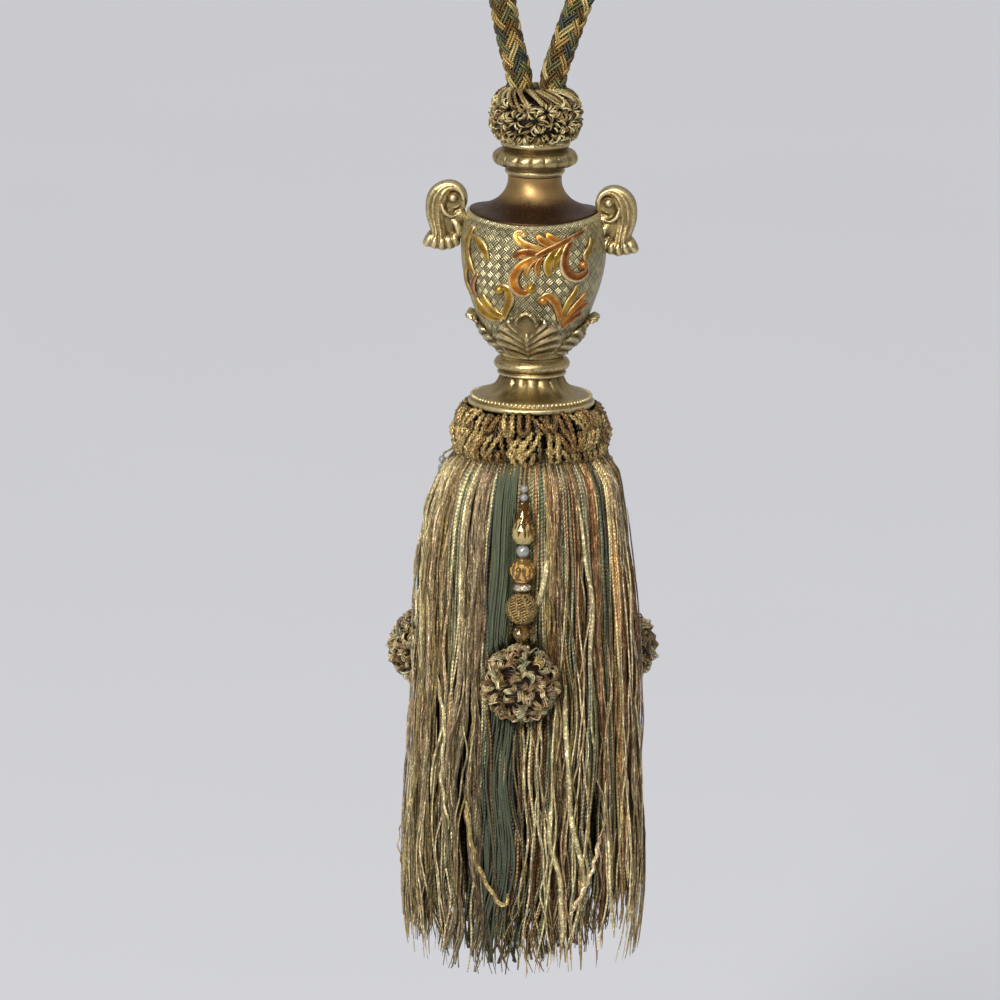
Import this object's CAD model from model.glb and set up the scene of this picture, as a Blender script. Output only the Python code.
import math

import bpy
import numpy as np
from bpy.props import FloatProperty, FloatVectorProperty, IntProperty, PointerProperty
from mathutils import Matrix, Vector


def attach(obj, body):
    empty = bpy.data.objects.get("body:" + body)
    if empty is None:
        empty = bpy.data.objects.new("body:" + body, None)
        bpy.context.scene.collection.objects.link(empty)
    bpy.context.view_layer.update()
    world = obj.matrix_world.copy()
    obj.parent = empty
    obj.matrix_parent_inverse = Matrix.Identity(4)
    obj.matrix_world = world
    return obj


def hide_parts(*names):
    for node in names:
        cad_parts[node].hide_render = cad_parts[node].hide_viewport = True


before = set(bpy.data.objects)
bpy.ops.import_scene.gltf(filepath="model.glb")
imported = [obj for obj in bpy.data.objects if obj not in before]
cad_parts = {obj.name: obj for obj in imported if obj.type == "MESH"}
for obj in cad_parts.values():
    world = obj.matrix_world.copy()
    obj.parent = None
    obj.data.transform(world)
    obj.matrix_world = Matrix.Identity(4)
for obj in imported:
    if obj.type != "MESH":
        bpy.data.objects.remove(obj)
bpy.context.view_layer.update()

bl_info = {
    "name": "Curtain tieback tassel",
    "version": (1, 0, 0),
    "blender": (4, 5, 0),
    "location": "View3D > Sidebar > Tassel",
    "description": "Dresses the frame of a tieback tassel in braid, gilt metal, beads and yarn",
    "category": "Add Mesh",
}

# Lengths are in millimetres below this line, and depths run down from the top of the upper ruff.
MM = 0.001
CM = 10.0                   # UV maps are in centimetres
LOOP_DROP = 215.0           # from the hook to the top of the upper ruff
TAU = math.tau
FACING = math.radians(-84.0)            # the side that is towards the camera

CORD_ROUTE = [              # x and height above the ruff's top, from the left end to the right one
    (-5.9, -11.0), (-6.1, -3.0), (-6.6, 5.0), (-9.2, 14.5), (-11.6, 25.0), (-13.6, 36.0),
    (-17.4, 58.0), (-23.2, 92.0), (-28.0, 126.0), (-30.4, 158.0), (-29.4, 186.0), (-24.4, 204.0),
    (-13.8, 216.0), (0.0, 220.0), (14.4, 216.2), (26.2, 204.2), (33.0, 183.0), (36.2, 156.0),
    (36.0, 128.0), (32.6, 96.0), (26.4, 66.0), (20.2, 45.0), (16.1, 34.0), (12.1, 22.6),
    (8.8, 12.5), (6.5, 5.0), (6.1, -3.0), (5.9, -11.0)]

# Turned forms: radius and depth, down the outer side
TOP_RUFF = [(5.0, 1.6), (9.0, 1.0), (13.4, 3.2), (15.2, 6.6), (15.7, 10.0), (15.5, 14.0),
            (14.2, 17.0), (12.4, 18.4)]
COLLAR = [(0.0, 19.0), (11.9, 19.0), (12.4, 19.4), (12.8, 20.3), (12.5, 21.3), (11.7, 22.0),
          (11.9, 22.6), (13.6, 23.1), (14.9, 24.2), (15.5, 25.7), (15.2, 27.2), (14.0, 28.3),
          (12.2, 28.9), (10.6, 29.1), (10.5, 29.7), (10.9, 30.3), (10.9, 31.1), (10.4, 31.8),
          (9.9, 32.2), (0.0, 32.2)]
SHOULDER = [(0.0, 32.4), (9.9, 32.4), (9.8, 34.2), (10.3, 36.6), (11.7, 39.2), (14.3, 41.7),
            (18.2, 43.5), (21.6, 44.2), (23.4, 44.6), (23.6, 45.2), (0.0, 45.2)]
BOWL = [(0.0, 45.3), (23.6, 45.3), (24.1, 45.1), (24.5, 45.5), (24.5, 46.2), (25.1, 48.0),
        (25.9, 51.0), (26.4, 54.5), (26.6, 58.0), (26.4, 63.0), (25.7, 68.0), (24.5, 73.0),
        (23.0, 77.5), (21.4, 82.0), (19.6, 86.6), (17.2, 91.2), (14.4, 95.0), (11.9, 97.4),
        (11.2, 98.2), (11.0, 99.0), (0.0, 99.0)]
FOOT = [(0.0, 99.2), (11.0, 99.2), (12.6, 99.9), (13.7, 101.2), (13.9, 102.4), (13.3, 103.5),
        (12.2, 104.1), (12.2, 104.7), (12.7, 105.2), (12.5, 105.9), (11.6, 106.3), (11.9, 107.5),
        (12.8, 109.2), (14.6, 110.9), (17.5, 112.2), (20.4, 113.2), (21.5, 114.0), (22.0, 115.0),
        (22.9, 115.6), (23.2, 116.4), (22.9, 117.2), (0.0, 117.2)]
SKIRT_RUFF = [(19.0, 118.0), (22.2, 117.4), (24.0, 119.0), (25.2, 121.6), (26.2, 125.0),
              (26.7, 129.0), (26.4, 132.6), (24.4, 135.4), (20.0, 136.2)]
RIM_DIP = 2.0               # how far the rim sinks in front and behind, between the ears
BOWL_GIRTH = TAU * 25.5     # round the bowl where its basketwork is measured
WEAVE_TOP = 45.0            # depth from which the basketwork's rows are counted
LEAF_FOOT = 98.4            # depth of the leaves' feet
FOOT_BEADS = (0.72, 21.75, 114.1)   # radius of a bead, and radius and depth of their row
EAR_EYE = (28.5, 41.6)      # middle of the ears' knob, to the right and down
SKIRT_SKIN = [              # depth and outer radius of the hanging skirt
    (130.0, 24.0), (134.0, 26.6), (136.8, 29.4), (141.7, 33.6), (147.0, 35.6), (160.0, 37.6),
    (178.0, 39.4), (190.0, 40.3), (213.0, 41.2), (235.0, 42.1), (262.0, 42.8), (280.0, 44.0),
    (300.0, 43.8), (330.0, 42.8)]

LOCK_PLACE = 360.0 / 42             # degrees
HANGERS = {                 # degrees round the axis, each string over the middle of a lock
    "front": -87.5, "right": -87.5 + 15 * LOCK_PLACE, "left": -87.5 + 29 * LOCK_PLACE}
STRING_TOP = (35.6, 140.5)          # radius and depth of the first bead's upper end
STRING_FOOT = (41.3, 213.3)         # radius and depth of the pompom's centre
THREAD_LEAD = [(29.2, 133.6), (30.4, 136.0), (32.6, 138.0), (34.6, 139.2)]
POMPOM_RADIUS = 15.2
BEAD_GAP = 0.3


# ---------------------------------------------------------------- settings

def paint(red, green, blue):
    """A colour as it looks on the screen, 0 to 255, turned into light values."""
    return tuple(((c / 255 + 0.055) / 1.055) ** 2.4 for c in (red, green, blue))


def toned(base, share):
    """A colour made lighter or darker."""
    return tuple(share * c for c in base)


def colour(label, red, green, blue):
    """A colour setting, from the colour's look on the screen."""
    return FloatVectorProperty(name=label, description=f"Colour of the {label.lower()}",
                               subtype="COLOR", size=3, min=0.0, max=1.0,
                               default=paint(red, green, blue))


class StageSettings(bpy.types.PropertyGroup):
    distance: FloatProperty(name="Camera distance", description="From the camera to the tassel",
                            default=3.0, unit="LENGTH")
    swing: FloatProperty(name="Camera swing", description="How far the camera stands to the right",
                         default=math.radians(6.0), subtype="ANGLE")
    rise: FloatProperty(name="Camera rise", description="How far the camera looks down",
                        default=math.radians(12.0), subtype="ANGLE")
    roll: FloatProperty(name="Camera roll", description="How far the top leans to the right",
                        default=math.radians(0.87), subtype="ANGLE")
    lens: FloatProperty(name="Focal length", description="Of the camera's lens, in millimetres",
                        default=294.0)
    key: FloatProperty(name="Key light", description="Strength of the main light", default=2.3)
    ambient: FloatProperty(name="Room light", description="Strength of the light all round",
                           default=0.75)
    floor: colour("Floor", 205, 206, 212)


class CordSettings(bpy.types.PropertyGroup):
    diameter: FloatProperty(name="Diameter", description="Of the braided cord",
                            default=0.010, unit="LENGTH")
    lay: FloatProperty(name="Lay", description="Length in which a yarn goes once round the cord",
                       default=0.037, unit="LENGTH")
    carriers: IntProperty(name="Carriers", description="Pairs of yarns that run each way round",
                          default=8)
    gold: colour("Gold yarn", 168, 138, 78)
    pale: colour("Pale gold yarn", 190, 170, 112)
    sage: colour("Sage yarn", 104, 102, 64)
    brown: colour("Brown yarn", 96, 72, 34)
    slate: colour("Slate yarn", 66, 70, 62)


class MetalSettings(bpy.types.PropertyGroup):
    bright: colour("Worn gilding", 232, 214, 164)
    gilt: colour("Gilding", 160, 138, 92)
    hollow: colour("Patina in the hollows", 62, 46, 24)
    bronze: colour("Bronze", 152, 122, 76)
    umber: colour("Dark bronze", 62, 38, 18)
    ground: colour("Bowl ground", 166, 157, 120)
    orange: colour("Orange lacquer", 204, 130, 18)
    copper: colour("Copper lacquer", 164, 92, 10)
    yellow: colour("Yellow lacquer", 180, 142, 22)
    peach: colour("Peach lacquer", 216, 160, 72)


class YarnSettings(bpy.types.PropertyGroup):
    count: IntProperty(name="Yarns", description="Yarns in the skirt's outer layer", default=352)
    hem: FloatProperty(name="Hem", description="Depth of the skirt's hem below the upper ruff",
                       default=0.3195, unit="LENGTH")
    straw: colour("Straw yarn", 218, 200, 148)
    gold: colour("Gold yarn", 166, 142, 90)
    bronze: colour("Bronze yarn", 118, 90, 50)
    copper: colour("Copper yarn", 158, 112, 70)
    rose: colour("Rose yarn", 178, 146, 108)
    peach: colour("Peach yarn", 218, 190, 146)
    sage: colour("Sage yarn", 85, 92, 64)
    olive: colour("Olive yarn", 116, 112, 70)
    silver: colour("Silver green yarn", 168, 164, 128)
    slate: colour("Slate yarn", 62, 68, 60)
    brown: colour("Brown yarn", 66, 42, 18)


class BeadSettings(bpy.types.PropertyGroup):
    amber: colour("Amber glass", 116, 68, 16)
    topaz: colour("Topaz glass", 248, 194, 104)
    honey: colour("Honey glass", 240, 220, 156)
    pearl: colour("Pearl", 136, 136, 132)
    rose: colour("Rose metal", 196, 184, 164)
    cord: colour("Wound cord", 158, 132, 80)


# ---------------------------------------------------------------- lines and forms

def unit(vectors):
    """The same directions, each one long."""
    return vectors / np.maximum(np.linalg.norm(vectors, axis=-1, keepdims=True), 1e-9)


def blend(low, high, value):
    """Smooth step from 0 at low to 1 at high."""
    share = np.clip((np.asarray(value, float) - low) / (high - low), 0.0, 1.0)
    return share * share * (3.0 - 2.0 * share)


def rim_dip(angle, radius, depth):
    """How far the urn's rim sinks: it rises to the ears and dips between them."""
    share = blend(36.0, 44.5, depth) * (1.0 - blend(44.5, 52.0, depth))
    return RIM_DIP * share * np.minimum(1.0, radius / 24.0) * np.sin(angle) ** 2


def ring_point(angle, radius, depth):
    """A place round the axis, in millimetres, from its angle, radius and depth."""
    return np.stack(np.broadcast_arrays(radius * np.cos(angle), radius * np.sin(angle),
                                        -(LOOP_DROP + np.asarray(depth, float))), axis=-1)


def depth_of(lines):
    """Depth of lines under the top of the upper ruff."""
    return -lines[..., 2] - LOOP_DROP


def out_of(lines):
    """Level directions away from the axis, for lines that don't touch it."""
    return unit(lines * [1, 1, 0])


def walked(lines):
    """How far along its line each point lies."""
    steps = np.linalg.norm(np.diff(lines, axis=-2), axis=-1)
    return np.concatenate([np.zeros_like(steps[..., :1]), np.cumsum(steps, axis=-1)], axis=-1)


def spread(points, count):
    """Evenly spaced points along a smooth curve through the given ones."""
    p = np.asarray(points, float)
    p = np.vstack([2 * p[0] - p[1], p, 2 * p[-1] - p[-2]])
    t = np.linspace(0, 1, 17)[:-1, None]
    fine = [0.5 * (2 * b + (c - a) * t + (2 * a - 5 * b + 4 * c - d) * t * t
                   + (3 * b - a - 3 * c + d) * t ** 3)
            for a, b, c, d in zip(p, p[1:], p[2:], p[3:])]
    fine = np.vstack(fine + [p[-2:-1]])
    run = walked(fine)
    at = np.linspace(0, run[-1], count)
    return np.stack([np.interp(at, run, fine[:, i]) for i in range(fine.shape[1])], axis=1)


def frames(lines, outward=None):
    """Directions across and out of each line, turned as little as can be."""
    along = unit(np.gradient(lines, axis=1))
    if outward is None:
        outward = np.zeros_like(lines)
        least = np.argmin(np.abs(along[:, 0]), axis=1)
        outward[np.arange(len(lines)), 0, least] = 1.0
        side = np.empty_like(lines)
        side[:, 0] = unit(np.cross(along[:, 0], outward[:, 0]))
        for i in range(1, lines.shape[1]):
            before = side[:, i - 1]
            drift = np.sum(before * along[:, i], axis=-1, keepdims=True)
            side[:, i] = unit(before - along[:, i] * drift)
    else:
        side = unit(np.cross(along, np.broadcast_to(outward, lines.shape)))
    return side, np.cross(side, along)


def plies(lines, count, reach, lay):
    """Each line laid up as a rope of several strands that turn round it."""
    side, out = frames(lines)
    turns = [(walked(lines) / lay + i / count)[..., None] * TAU for i in range(count)]
    return np.concatenate([lines + reach * (side * np.cos(turn) + out * np.sin(turn))
                           for turn in turns])


class Batch:
    """Many closed strands gathered into one mesh, with their colours and their own UV map."""

    def __init__(self, seed):
        self.random = np.random.default_rng(seed)
        self.points, self.tints, self.faces, self.uvs = [], [], [], []
        self.total = 0

    def add(self, lines, width, tint, thickness=None, sides=5, outward=None, taper=0.0,
            groove=0.0, edge=None, flutes=0):
        """Round or flat strands: half width, half thickness, and a colour for each of them.

        Groove sinks the middle of a strand's outer side, edge is a pale and a dark colour for
        its borders, and flutes is how many shallow ridges run along both of its faces.
        """
        lines = np.asarray(lines, float)
        count, steps = lines.shape[:2]
        width = np.broadcast_to(np.asarray(width, float), (count, steps))
        thickness = width if thickness is None else np.broadcast_to(thickness, (count, steps))
        if taper:
            share = np.linspace(0, 1, steps)
            ends = 1.0 - (1.0 - taper) * blend(0.9, 1.0, np.maximum(share, 1.0 - share))
            width, thickness = width * ends, thickness * ends
        side, out = frames(lines, outward)
        turn = np.arange(sides) * TAU / sides
        sunk = 1.0 - groove * np.exp(-(np.cos(turn) / 0.36) ** 2) * (np.sin(turn) > 0)
        beside, high = np.cos(turn), np.sin(turn) * sunk
        if flutes:
            beside = 1.0 - 2.0 * np.abs(turn / math.pi - 1.0)
            ridge = np.abs(np.sin(np.pi * flutes * (beside + 1) / 2)) ** 0.7
            high = np.sign(np.pi - turn) * (1 - beside ** 4) ** 0.5 * (0.82 + 0.18 * ridge)
            beside = -beside
        ring = (lines[:, :, None]
                + side[:, :, None] * (width[..., None] * beside)[..., None]
                + out[:, :, None] * (thickness[..., None] * high)[..., None])
        number = self.total + np.arange(count * steps * sides).reshape(count, steps, sides)
        after = np.roll(number, -1, axis=2)
        walls = np.stack([number[:, :-1], number[:, 1:], after[:, 1:], after[:, :-1]], axis=-1)
        run = walked(lines) / CM + self.random.uniform(0, 50, (count, 1))
        u = np.stack([run[:, :-1], run[:, 1:], run[:, 1:], run[:, :-1]], axis=-1)
        u = np.broadcast_to(u[:, :, None], walls.shape)
        v = np.arange(sides)[:, None] / sides + np.array([0, 0, 1, 1]) / sides
        uv = np.stack([u, np.broadcast_to(v, walls.shape)], axis=-1)
        caps = np.stack([number[:, 0], number[:, -1, ::-1]], axis=1).reshape(-1, sides)
        cap_u = np.broadcast_to(run[:, [0, -1]].reshape(-1, 1), caps.shape)
        self.faces += [walls.reshape(-1, 4), caps]
        self.uvs += [uv.reshape(-1, 2), np.stack([cap_u, cap_u * 0], axis=-1).reshape(-1, 2)]
        tint = np.asarray(tint, float)
        tint = tint.reshape((1, 1, 3) if tint.ndim == 1 else (count, -1, 3))
        tint = np.broadcast_to(tint[:, :, None], ring.shape)
        if edge is not None:
            reach = np.abs(np.cos(turn))[:, None]
            for tone, share in zip(edge, (np.exp(-((reach - 0.72) / 0.16) ** 2), reach > 0.93)):
                tint = tint * (1 - share) + tone * share
        self.points.append(ring.reshape(-1, 3))
        self.tints.append(tint.reshape(-1, 3))
        self.total += ring.size // 3

    def ball(self, centre, radius, tall, least, tint, sides):
        """A closed ball, tall from pole to pole, with flat poles of the least radius."""
        z = np.linspace(-tall / 2, tall / 2, 11)
        reach = np.sqrt(np.clip(radius ** 2 - z ** 2, least ** 2, None))
        line = centre + z[:, None] * np.array([0.0, 0.0, 1.0])
        self.add(line[None], reach[None], tint, sides=sides)

    def piece(self, name, finish):
        """The gathered strands as one object."""
        mesh = bpy.data.meshes.new(name)
        points, tints = np.vstack(self.points), np.vstack(self.tints)
        mesh.vertices.add(len(points))
        mesh.vertices.foreach_set("co", (points * MM).astype(np.float32).ravel())
        corners = np.concatenate([f.ravel() for f in self.faces])
        sizes = np.concatenate([np.full(len(f), f.shape[1]) for f in self.faces])
        mesh.loops.add(len(corners))
        mesh.loops.foreach_set("vertex_index", corners.astype(np.int32))
        mesh.polygons.add(len(sizes))
        starts = np.concatenate([[0], np.cumsum(sizes)[:-1]])
        mesh.polygons.foreach_set("loop_start", starts.astype(np.int32))
        mesh.update(calc_edges=True)
        layer = mesh.uv_layers.new(name="Strand")
        layer.data.foreach_set("uv", np.vstack(self.uvs).astype(np.float32).ravel())
        tint = mesh.attributes.new("tint", "FLOAT_COLOR", "POINT")
        full = np.concatenate([tints, np.ones((len(tints), 1))], axis=1)
        tint.data.foreach_set("color", full.astype(np.float32).ravel())
        mesh.validate()
        mesh.materials.append(finish)
        return shade(new_object(name, mesh))


# ---------------------------------------------------------------- modelling by hand

def new_object(name, data):
    """An object in the scene that shows a mesh, a lamp or a camera."""
    thing = bpy.data.objects.new(name, data)
    bpy.context.scene.collection.objects.link(thing)
    return thing


def shade(piece, smooth=True):
    """Shade all faces of a piece as one smooth surface, or each of them flat."""
    piece.data.polygons.foreach_set("use_smooth", np.full(len(piece.data.polygons), smooth))
    return piece


def modify(piece, kind, **values):
    """Give a piece one modifier with these values, and apply it."""
    select(piece)
    change = piece.modifiers.new(kind.lower(), kind)
    for key, value in values.items():
        setattr(change, key, value)
    bpy.ops.object.modifier_apply(modifier=change.name)


def clear_selection():
    """Leave edit mode and select nothing."""
    if bpy.context.object and bpy.context.object.mode != "OBJECT":
        bpy.ops.object.mode_set(mode="OBJECT")
    bpy.ops.object.select_all(action="DESELECT")


def select(*pieces):
    """Select only these pieces and make the first one active."""
    clear_selection()
    for piece in pieces:
        piece.select_set(True)
    bpy.context.view_layer.objects.active = pieces[0]


def turned(name, rows, steps, share=4):
    """A form turned on a lathe: its profile is drawn point by point and spun round the axis."""
    inner = [row for row in rows if row[0] > 0]
    profile = spread(inner, share * len(inner)).tolist()
    if rows[0][0] == 0:
        profile.insert(0, list(rows[0]))
    if rows[-1][0] == 0:
        profile.append(list(rows[-1]))
    clear_selection()
    bpy.ops.mesh.primitive_plane_add(size=0.001)
    piece = bpy.context.object
    piece.name = piece.data.name = name
    bpy.ops.object.mode_set(mode="EDIT")
    bpy.ops.mesh.select_all(action="SELECT")
    bpy.ops.mesh.merge(type="CENTER")
    radius, depth = profile[0]
    bpy.ops.transform.translate(value=(radius * MM, 0, -(LOOP_DROP + depth) * MM))
    for before, after in zip(profile, profile[1:]):
        move = ((after[0] - before[0]) * MM, 0, (before[1] - after[1]) * MM)
        bpy.ops.mesh.extrude_vertices_move(TRANSFORM_OT_translate={"value": move})
    bpy.ops.mesh.select_all(action="SELECT")
    bpy.ops.mesh.spin(steps=steps, angle=TAU, center=(0, 0, 0), axis=(0, 0, 1))
    bpy.ops.mesh.select_all(action="SELECT")
    bpy.ops.mesh.remove_doubles(threshold=0.000004)
    bpy.ops.mesh.normals_make_consistent(inside=False)
    bpy.ops.object.mode_set(mode="OBJECT")
    for layer in list(piece.data.uv_layers):
        piece.data.uv_layers.remove(layer)
    return piece


def corner_positions(piece):
    """Where a piece's corners are, in metres."""
    spots = np.empty(len(piece.data.vertices) * 3, np.float32)
    piece.data.vertices.foreach_get("co", spots)
    return spots.reshape(-1, 3).astype(float)


def move_corners(piece, spots):
    """Put a piece's corners at these places, in millimetres."""
    piece.data.vertices.foreach_set("co", (spots * MM).astype(np.float32).ravel())
    piece.data.update()


def shape(piece, rule):
    """Move every corner of a turned form: rule gives steps outwards and down, in millimetres."""
    spots = corner_positions(piece) / MM
    radius = np.hypot(spots[:, 0], spots[:, 1])
    angle = np.arctan2(spots[:, 1], spots[:, 0])
    depth = depth_of(spots)
    out, down = rule(angle, radius, depth)
    out = np.where(radius > 0.5, out, 0.0)
    move_corners(piece, ring_point(angle, radius + out, depth + down))


def sink_rim(piece):
    """Let the urn's rim sink in front and behind on a turned form."""
    shape(piece, lambda angle, radius, depth: (0.0 * angle, rim_dip(angle, radius, depth)))


def mark_hollows(piece, reach, gain):
    """Store how sunken each corner is: 0.5 when level, 1 in a groove, 0 on a crest.

    Reach is the width, in millimetres, over which the surface is levelled to compare.
    """
    mesh = piece.data
    spots = corner_positions(piece) / MM
    normals = np.empty(len(mesh.vertices) * 3, np.float32)
    mesh.vertices.foreach_get("normal", normals)
    normals = normals.reshape(-1, 3)
    edges = np.empty(len(mesh.edges) * 2, np.int32)
    mesh.edges.foreach_get("vertices", edges)
    a, b = edges.reshape(-1, 2).T
    count = np.maximum(np.bincount(np.concatenate([a, b]), minlength=len(spots)), 1)

    def around(values):
        total = np.bincount(a, values[b], len(spots)) + np.bincount(b, values[a], len(spots))
        return total / count

    step = np.mean(np.linalg.norm(spots[a] - spots[b], axis=1))
    level = spots.copy()
    for _ in range(int(np.clip(2.0 * (reach / step) ** 2, 3, 80))):
        for i in range(3):
            level[:, i] = 0.4 * level[:, i] + 0.6 * around(level[:, i])
    sunk = around(np.sum((level - spots) * normals, axis=1))
    layer = mesh.attributes.get("hollow") or mesh.attributes.new("hollow", "FLOAT", "POINT")
    layer.data.foreach_set("value", np.clip(0.5 + gain * sunk, 0, 1).astype(np.float32))


def smooth_by_angle(piece, degrees):
    """Shade a piece smooth but for edges sharper than this angle."""
    select(piece)
    bpy.ops.object.shade_smooth_by_angle(angle=math.radians(degrees))


def join(pieces, name):
    """Several modelled parts as one piece."""
    select(*pieces)
    bpy.ops.object.join()
    pieces[0].name = pieces[0].data.name = name
    return pieces[0]


def moved_copy(piece, name, move):
    """A copy with its own mesh, moved or turned by a matrix."""
    copy = new_object(name, piece.data.copy())
    copy.data.name = name
    copy.data.transform(move)
    return copy


def dress(piece, slot, *nodes):
    """Fasten a finished piece to the tassel, in place of any of the frame's nodes."""
    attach(piece, "root")
    if nodes:
        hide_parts(*nodes)
    return piece


# ---------------------------------------------------------------- finishes

class Nodes:
    """Shader nodes under construction. Each method adds a node and gives its output."""

    def __init__(self, owner):
        owner.use_nodes = True
        self.tree = owner.node_tree

    def node(self, kind, out, inputs, **settings):
        node = self.tree.nodes.new("ShaderNode" + kind)
        for key, value in settings.items():
            setattr(node, key, value)
        for key, value in inputs.items():
            if isinstance(value, bpy.types.NodeSocket):
                self.tree.links.new(value, node.inputs[key])
            elif value is not None:
                node.inputs[key].default_value = value
        return node.outputs[out]

    def sums(self, operation, a, b=None, c=None):
        return self.node("Math", 0, {0: a, 1: b, 2: c}, operation=operation)

    def mix(self, share, a, b, blend_type="MIX"):
        a, b = ((*x, 1.0) if isinstance(x, tuple) and len(x) == 3 else x for x in (a, b))
        return self.node("Mix", 2, {0: share, 6: a, 7: b}, data_type="RGBA",
                         blend_type=blend_type, clamp_factor=True)

    def ramp(self, value, low, high, to_low=0.0, to_high=1.0, kind="SMOOTHSTEP"):
        return self.node("MapRange", 0, {"Value": value, "From Min": low, "From Max": high,
                                         "To Min": to_low, "To Max": to_high},
                         interpolation_type=kind)

    def place(self, kind="Object", scale=None):
        spot = self.node("TexCoord", kind, {})
        return spot if scale is None else self.scaled(spot, scale)

    def scaled(self, vector, scale):
        return self.node("VectorMath", 0, {0: vector, 1: scale}, operation="MULTIPLY")

    def noise(self, vector, scale, detail=2.0, roughness=0.5):
        return self.node("TexNoise", "Fac", {"Vector": vector, "Scale": scale, "Detail": detail,
                                             "Roughness": roughness})

    def split(self, vector):
        return self.node("SeparateXYZ", 0, {0: vector}).node.outputs

    def attribute(self, name, out="Fac"):
        return self.node("Attribute", out, {}, attribute_name=name)

    def bump(self, height, strength, distance):
        return self.node("Bump", 0, {"Height": height, "Strength": strength,
                                     "Distance": distance})


class Finish(Nodes):
    """A material under construction, whose surface starts with the values given."""

    def __init__(self, name, **surface):
        self.material = bpy.data.materials.new(name)
        super().__init__(self.material)
        self.surface = self.tree.nodes["Principled BSDF"]
        for key, value in surface.items():
            self.surface.inputs[key.replace("_", " ")].default_value = value

    def use(self, **sockets):
        for key, value in sockets.items():
            self.tree.links.new(value, self.surface.inputs[key.replace("_", " ")])
        return self.material


def made_once(recipe):
    """Keep one material for each finish."""
    def wrapped(name, *values, **named):
        return bpy.data.materials.get(name) or recipe(name, *values, **named)
    return wrapped


@made_once
def gilding(name, base, bright, dark, rough=0.34):
    """Antique gilding: bright on the crests, dark patina in the hollows, fine speckles all over."""
    f = Finish(name, Metallic=0.9, Specular_IOR_Level=0.5)
    spot = f.place()
    cloud = f.noise(spot, 150.0, 3.0, 0.6)
    speck = f.noise(spot, 1500.0, 3.0, 0.65)
    sunk = f.attribute("hollow")
    tone = f.mix(f.ramp(cloud, 0.36, 0.66), toned(base, 0.72), base)
    loose = f.sums("ADD", sunk, f.sums("MULTIPLY_ADD", speck, 0.3, -0.15))
    tone = f.mix(f.ramp(loose, 0.46, 0.26, 0.0, 0.75), tone, bright)
    patina = f.ramp(loose, 0.54, 0.84)
    tone = f.mix(patina, tone, dark)
    tone = f.mix(f.ramp(speck, 0.56, 0.68, 0.0, 0.55), tone, dark)
    roughness = f.ramp(cloud, 0.3, 0.75, rough - 0.06, rough + 0.12)
    roughness = f.sums("MULTIPLY_ADD", patina, 0.25, roughness)
    normal = f.bump(f.sums("ADD", speck, cloud), 0.35, 0.00014)
    return f.use(Base_Color=tone, Roughness=roughness, Normal=normal)


@made_once
def weave_ground(name, base, bright, dark, strips):
    """The bowl's ground: engraved basketwork, three fine lines to each strip."""
    f = Finish(name, Metallic=0.85, Specular_IOR_Level=0.5)
    u, v, _ = f.split(f.place("UV"))
    p = f.sums("MULTIPLY", f.sums("ADD", u, v), strips)
    q = f.sums("MULTIPLY", f.sums("SUBTRACT", u, v), strips)
    cells = f.sums("ADD", f.sums("FLOOR", p), f.sums("FLOOR", q))
    odd = f.sums("FLOORED_MODULO", cells, 2.0)
    even = f.sums("SUBTRACT", 1.0, odd)

    def chosen(a, b):
        return f.sums("ADD", f.sums("MULTIPLY", a, odd), f.sums("MULTIPLY", b, even))

    def dome(value):
        return f.sums("SINE", f.sums("MULTIPLY", f.sums("FRACT", value), math.pi))

    across, along = chosen(dome(p), dome(q)), chosen(dome(q), dome(p))
    lines = chosen(f.sums("ABSOLUTE", f.sums("SINE", f.sums("MULTIPLY", p, 3 * math.pi))),
                   f.sums("ABSOLUTE", f.sums("SINE", f.sums("MULTIPLY", q, 3 * math.pi))))
    edge = f.sums("MULTIPLY", f.ramp(across, 0.0, 0.5, 0.7, 1.0),
                  f.ramp(along, 0.0, 0.7, 0.45, 1))
    height = f.sums("MULTIPLY", edge, f.sums("MULTIPLY_ADD", lines, 0.8, 0.2))
    cloud = f.noise(f.place(), 230.0, 3.0, 0.6)
    speck = f.noise(f.place(), 1300.0, 2.0, 0.65)
    tone = f.mix(f.ramp(cloud, 0.40, 0.66), base, bright)
    worn = f.sums("ADD", height, f.sums("MULTIPLY_ADD", speck, 0.6, -0.3))
    worn = f.sums("ADD", worn, f.sums("MULTIPLY_ADD", cloud, 0.5, -0.25))
    tone = f.mix(f.ramp(worn, 0.66, 0.12, 0.0, 0.92), tone, dark)
    sunk = f.attribute("hollow")
    tone = f.mix(f.ramp(sunk, 0.58, 0.85), tone, dark)
    tone = f.mix(f.ramp(sunk, 0.40, 0.28), tone, bright)
    normal = f.bump(height, 1.0, 0.00035)
    return f.use(Base_Color=tone, Normal=normal,
                 Roughness=f.ramp(cloud, 0.3, 0.75, 0.30, 0.48))


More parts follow.
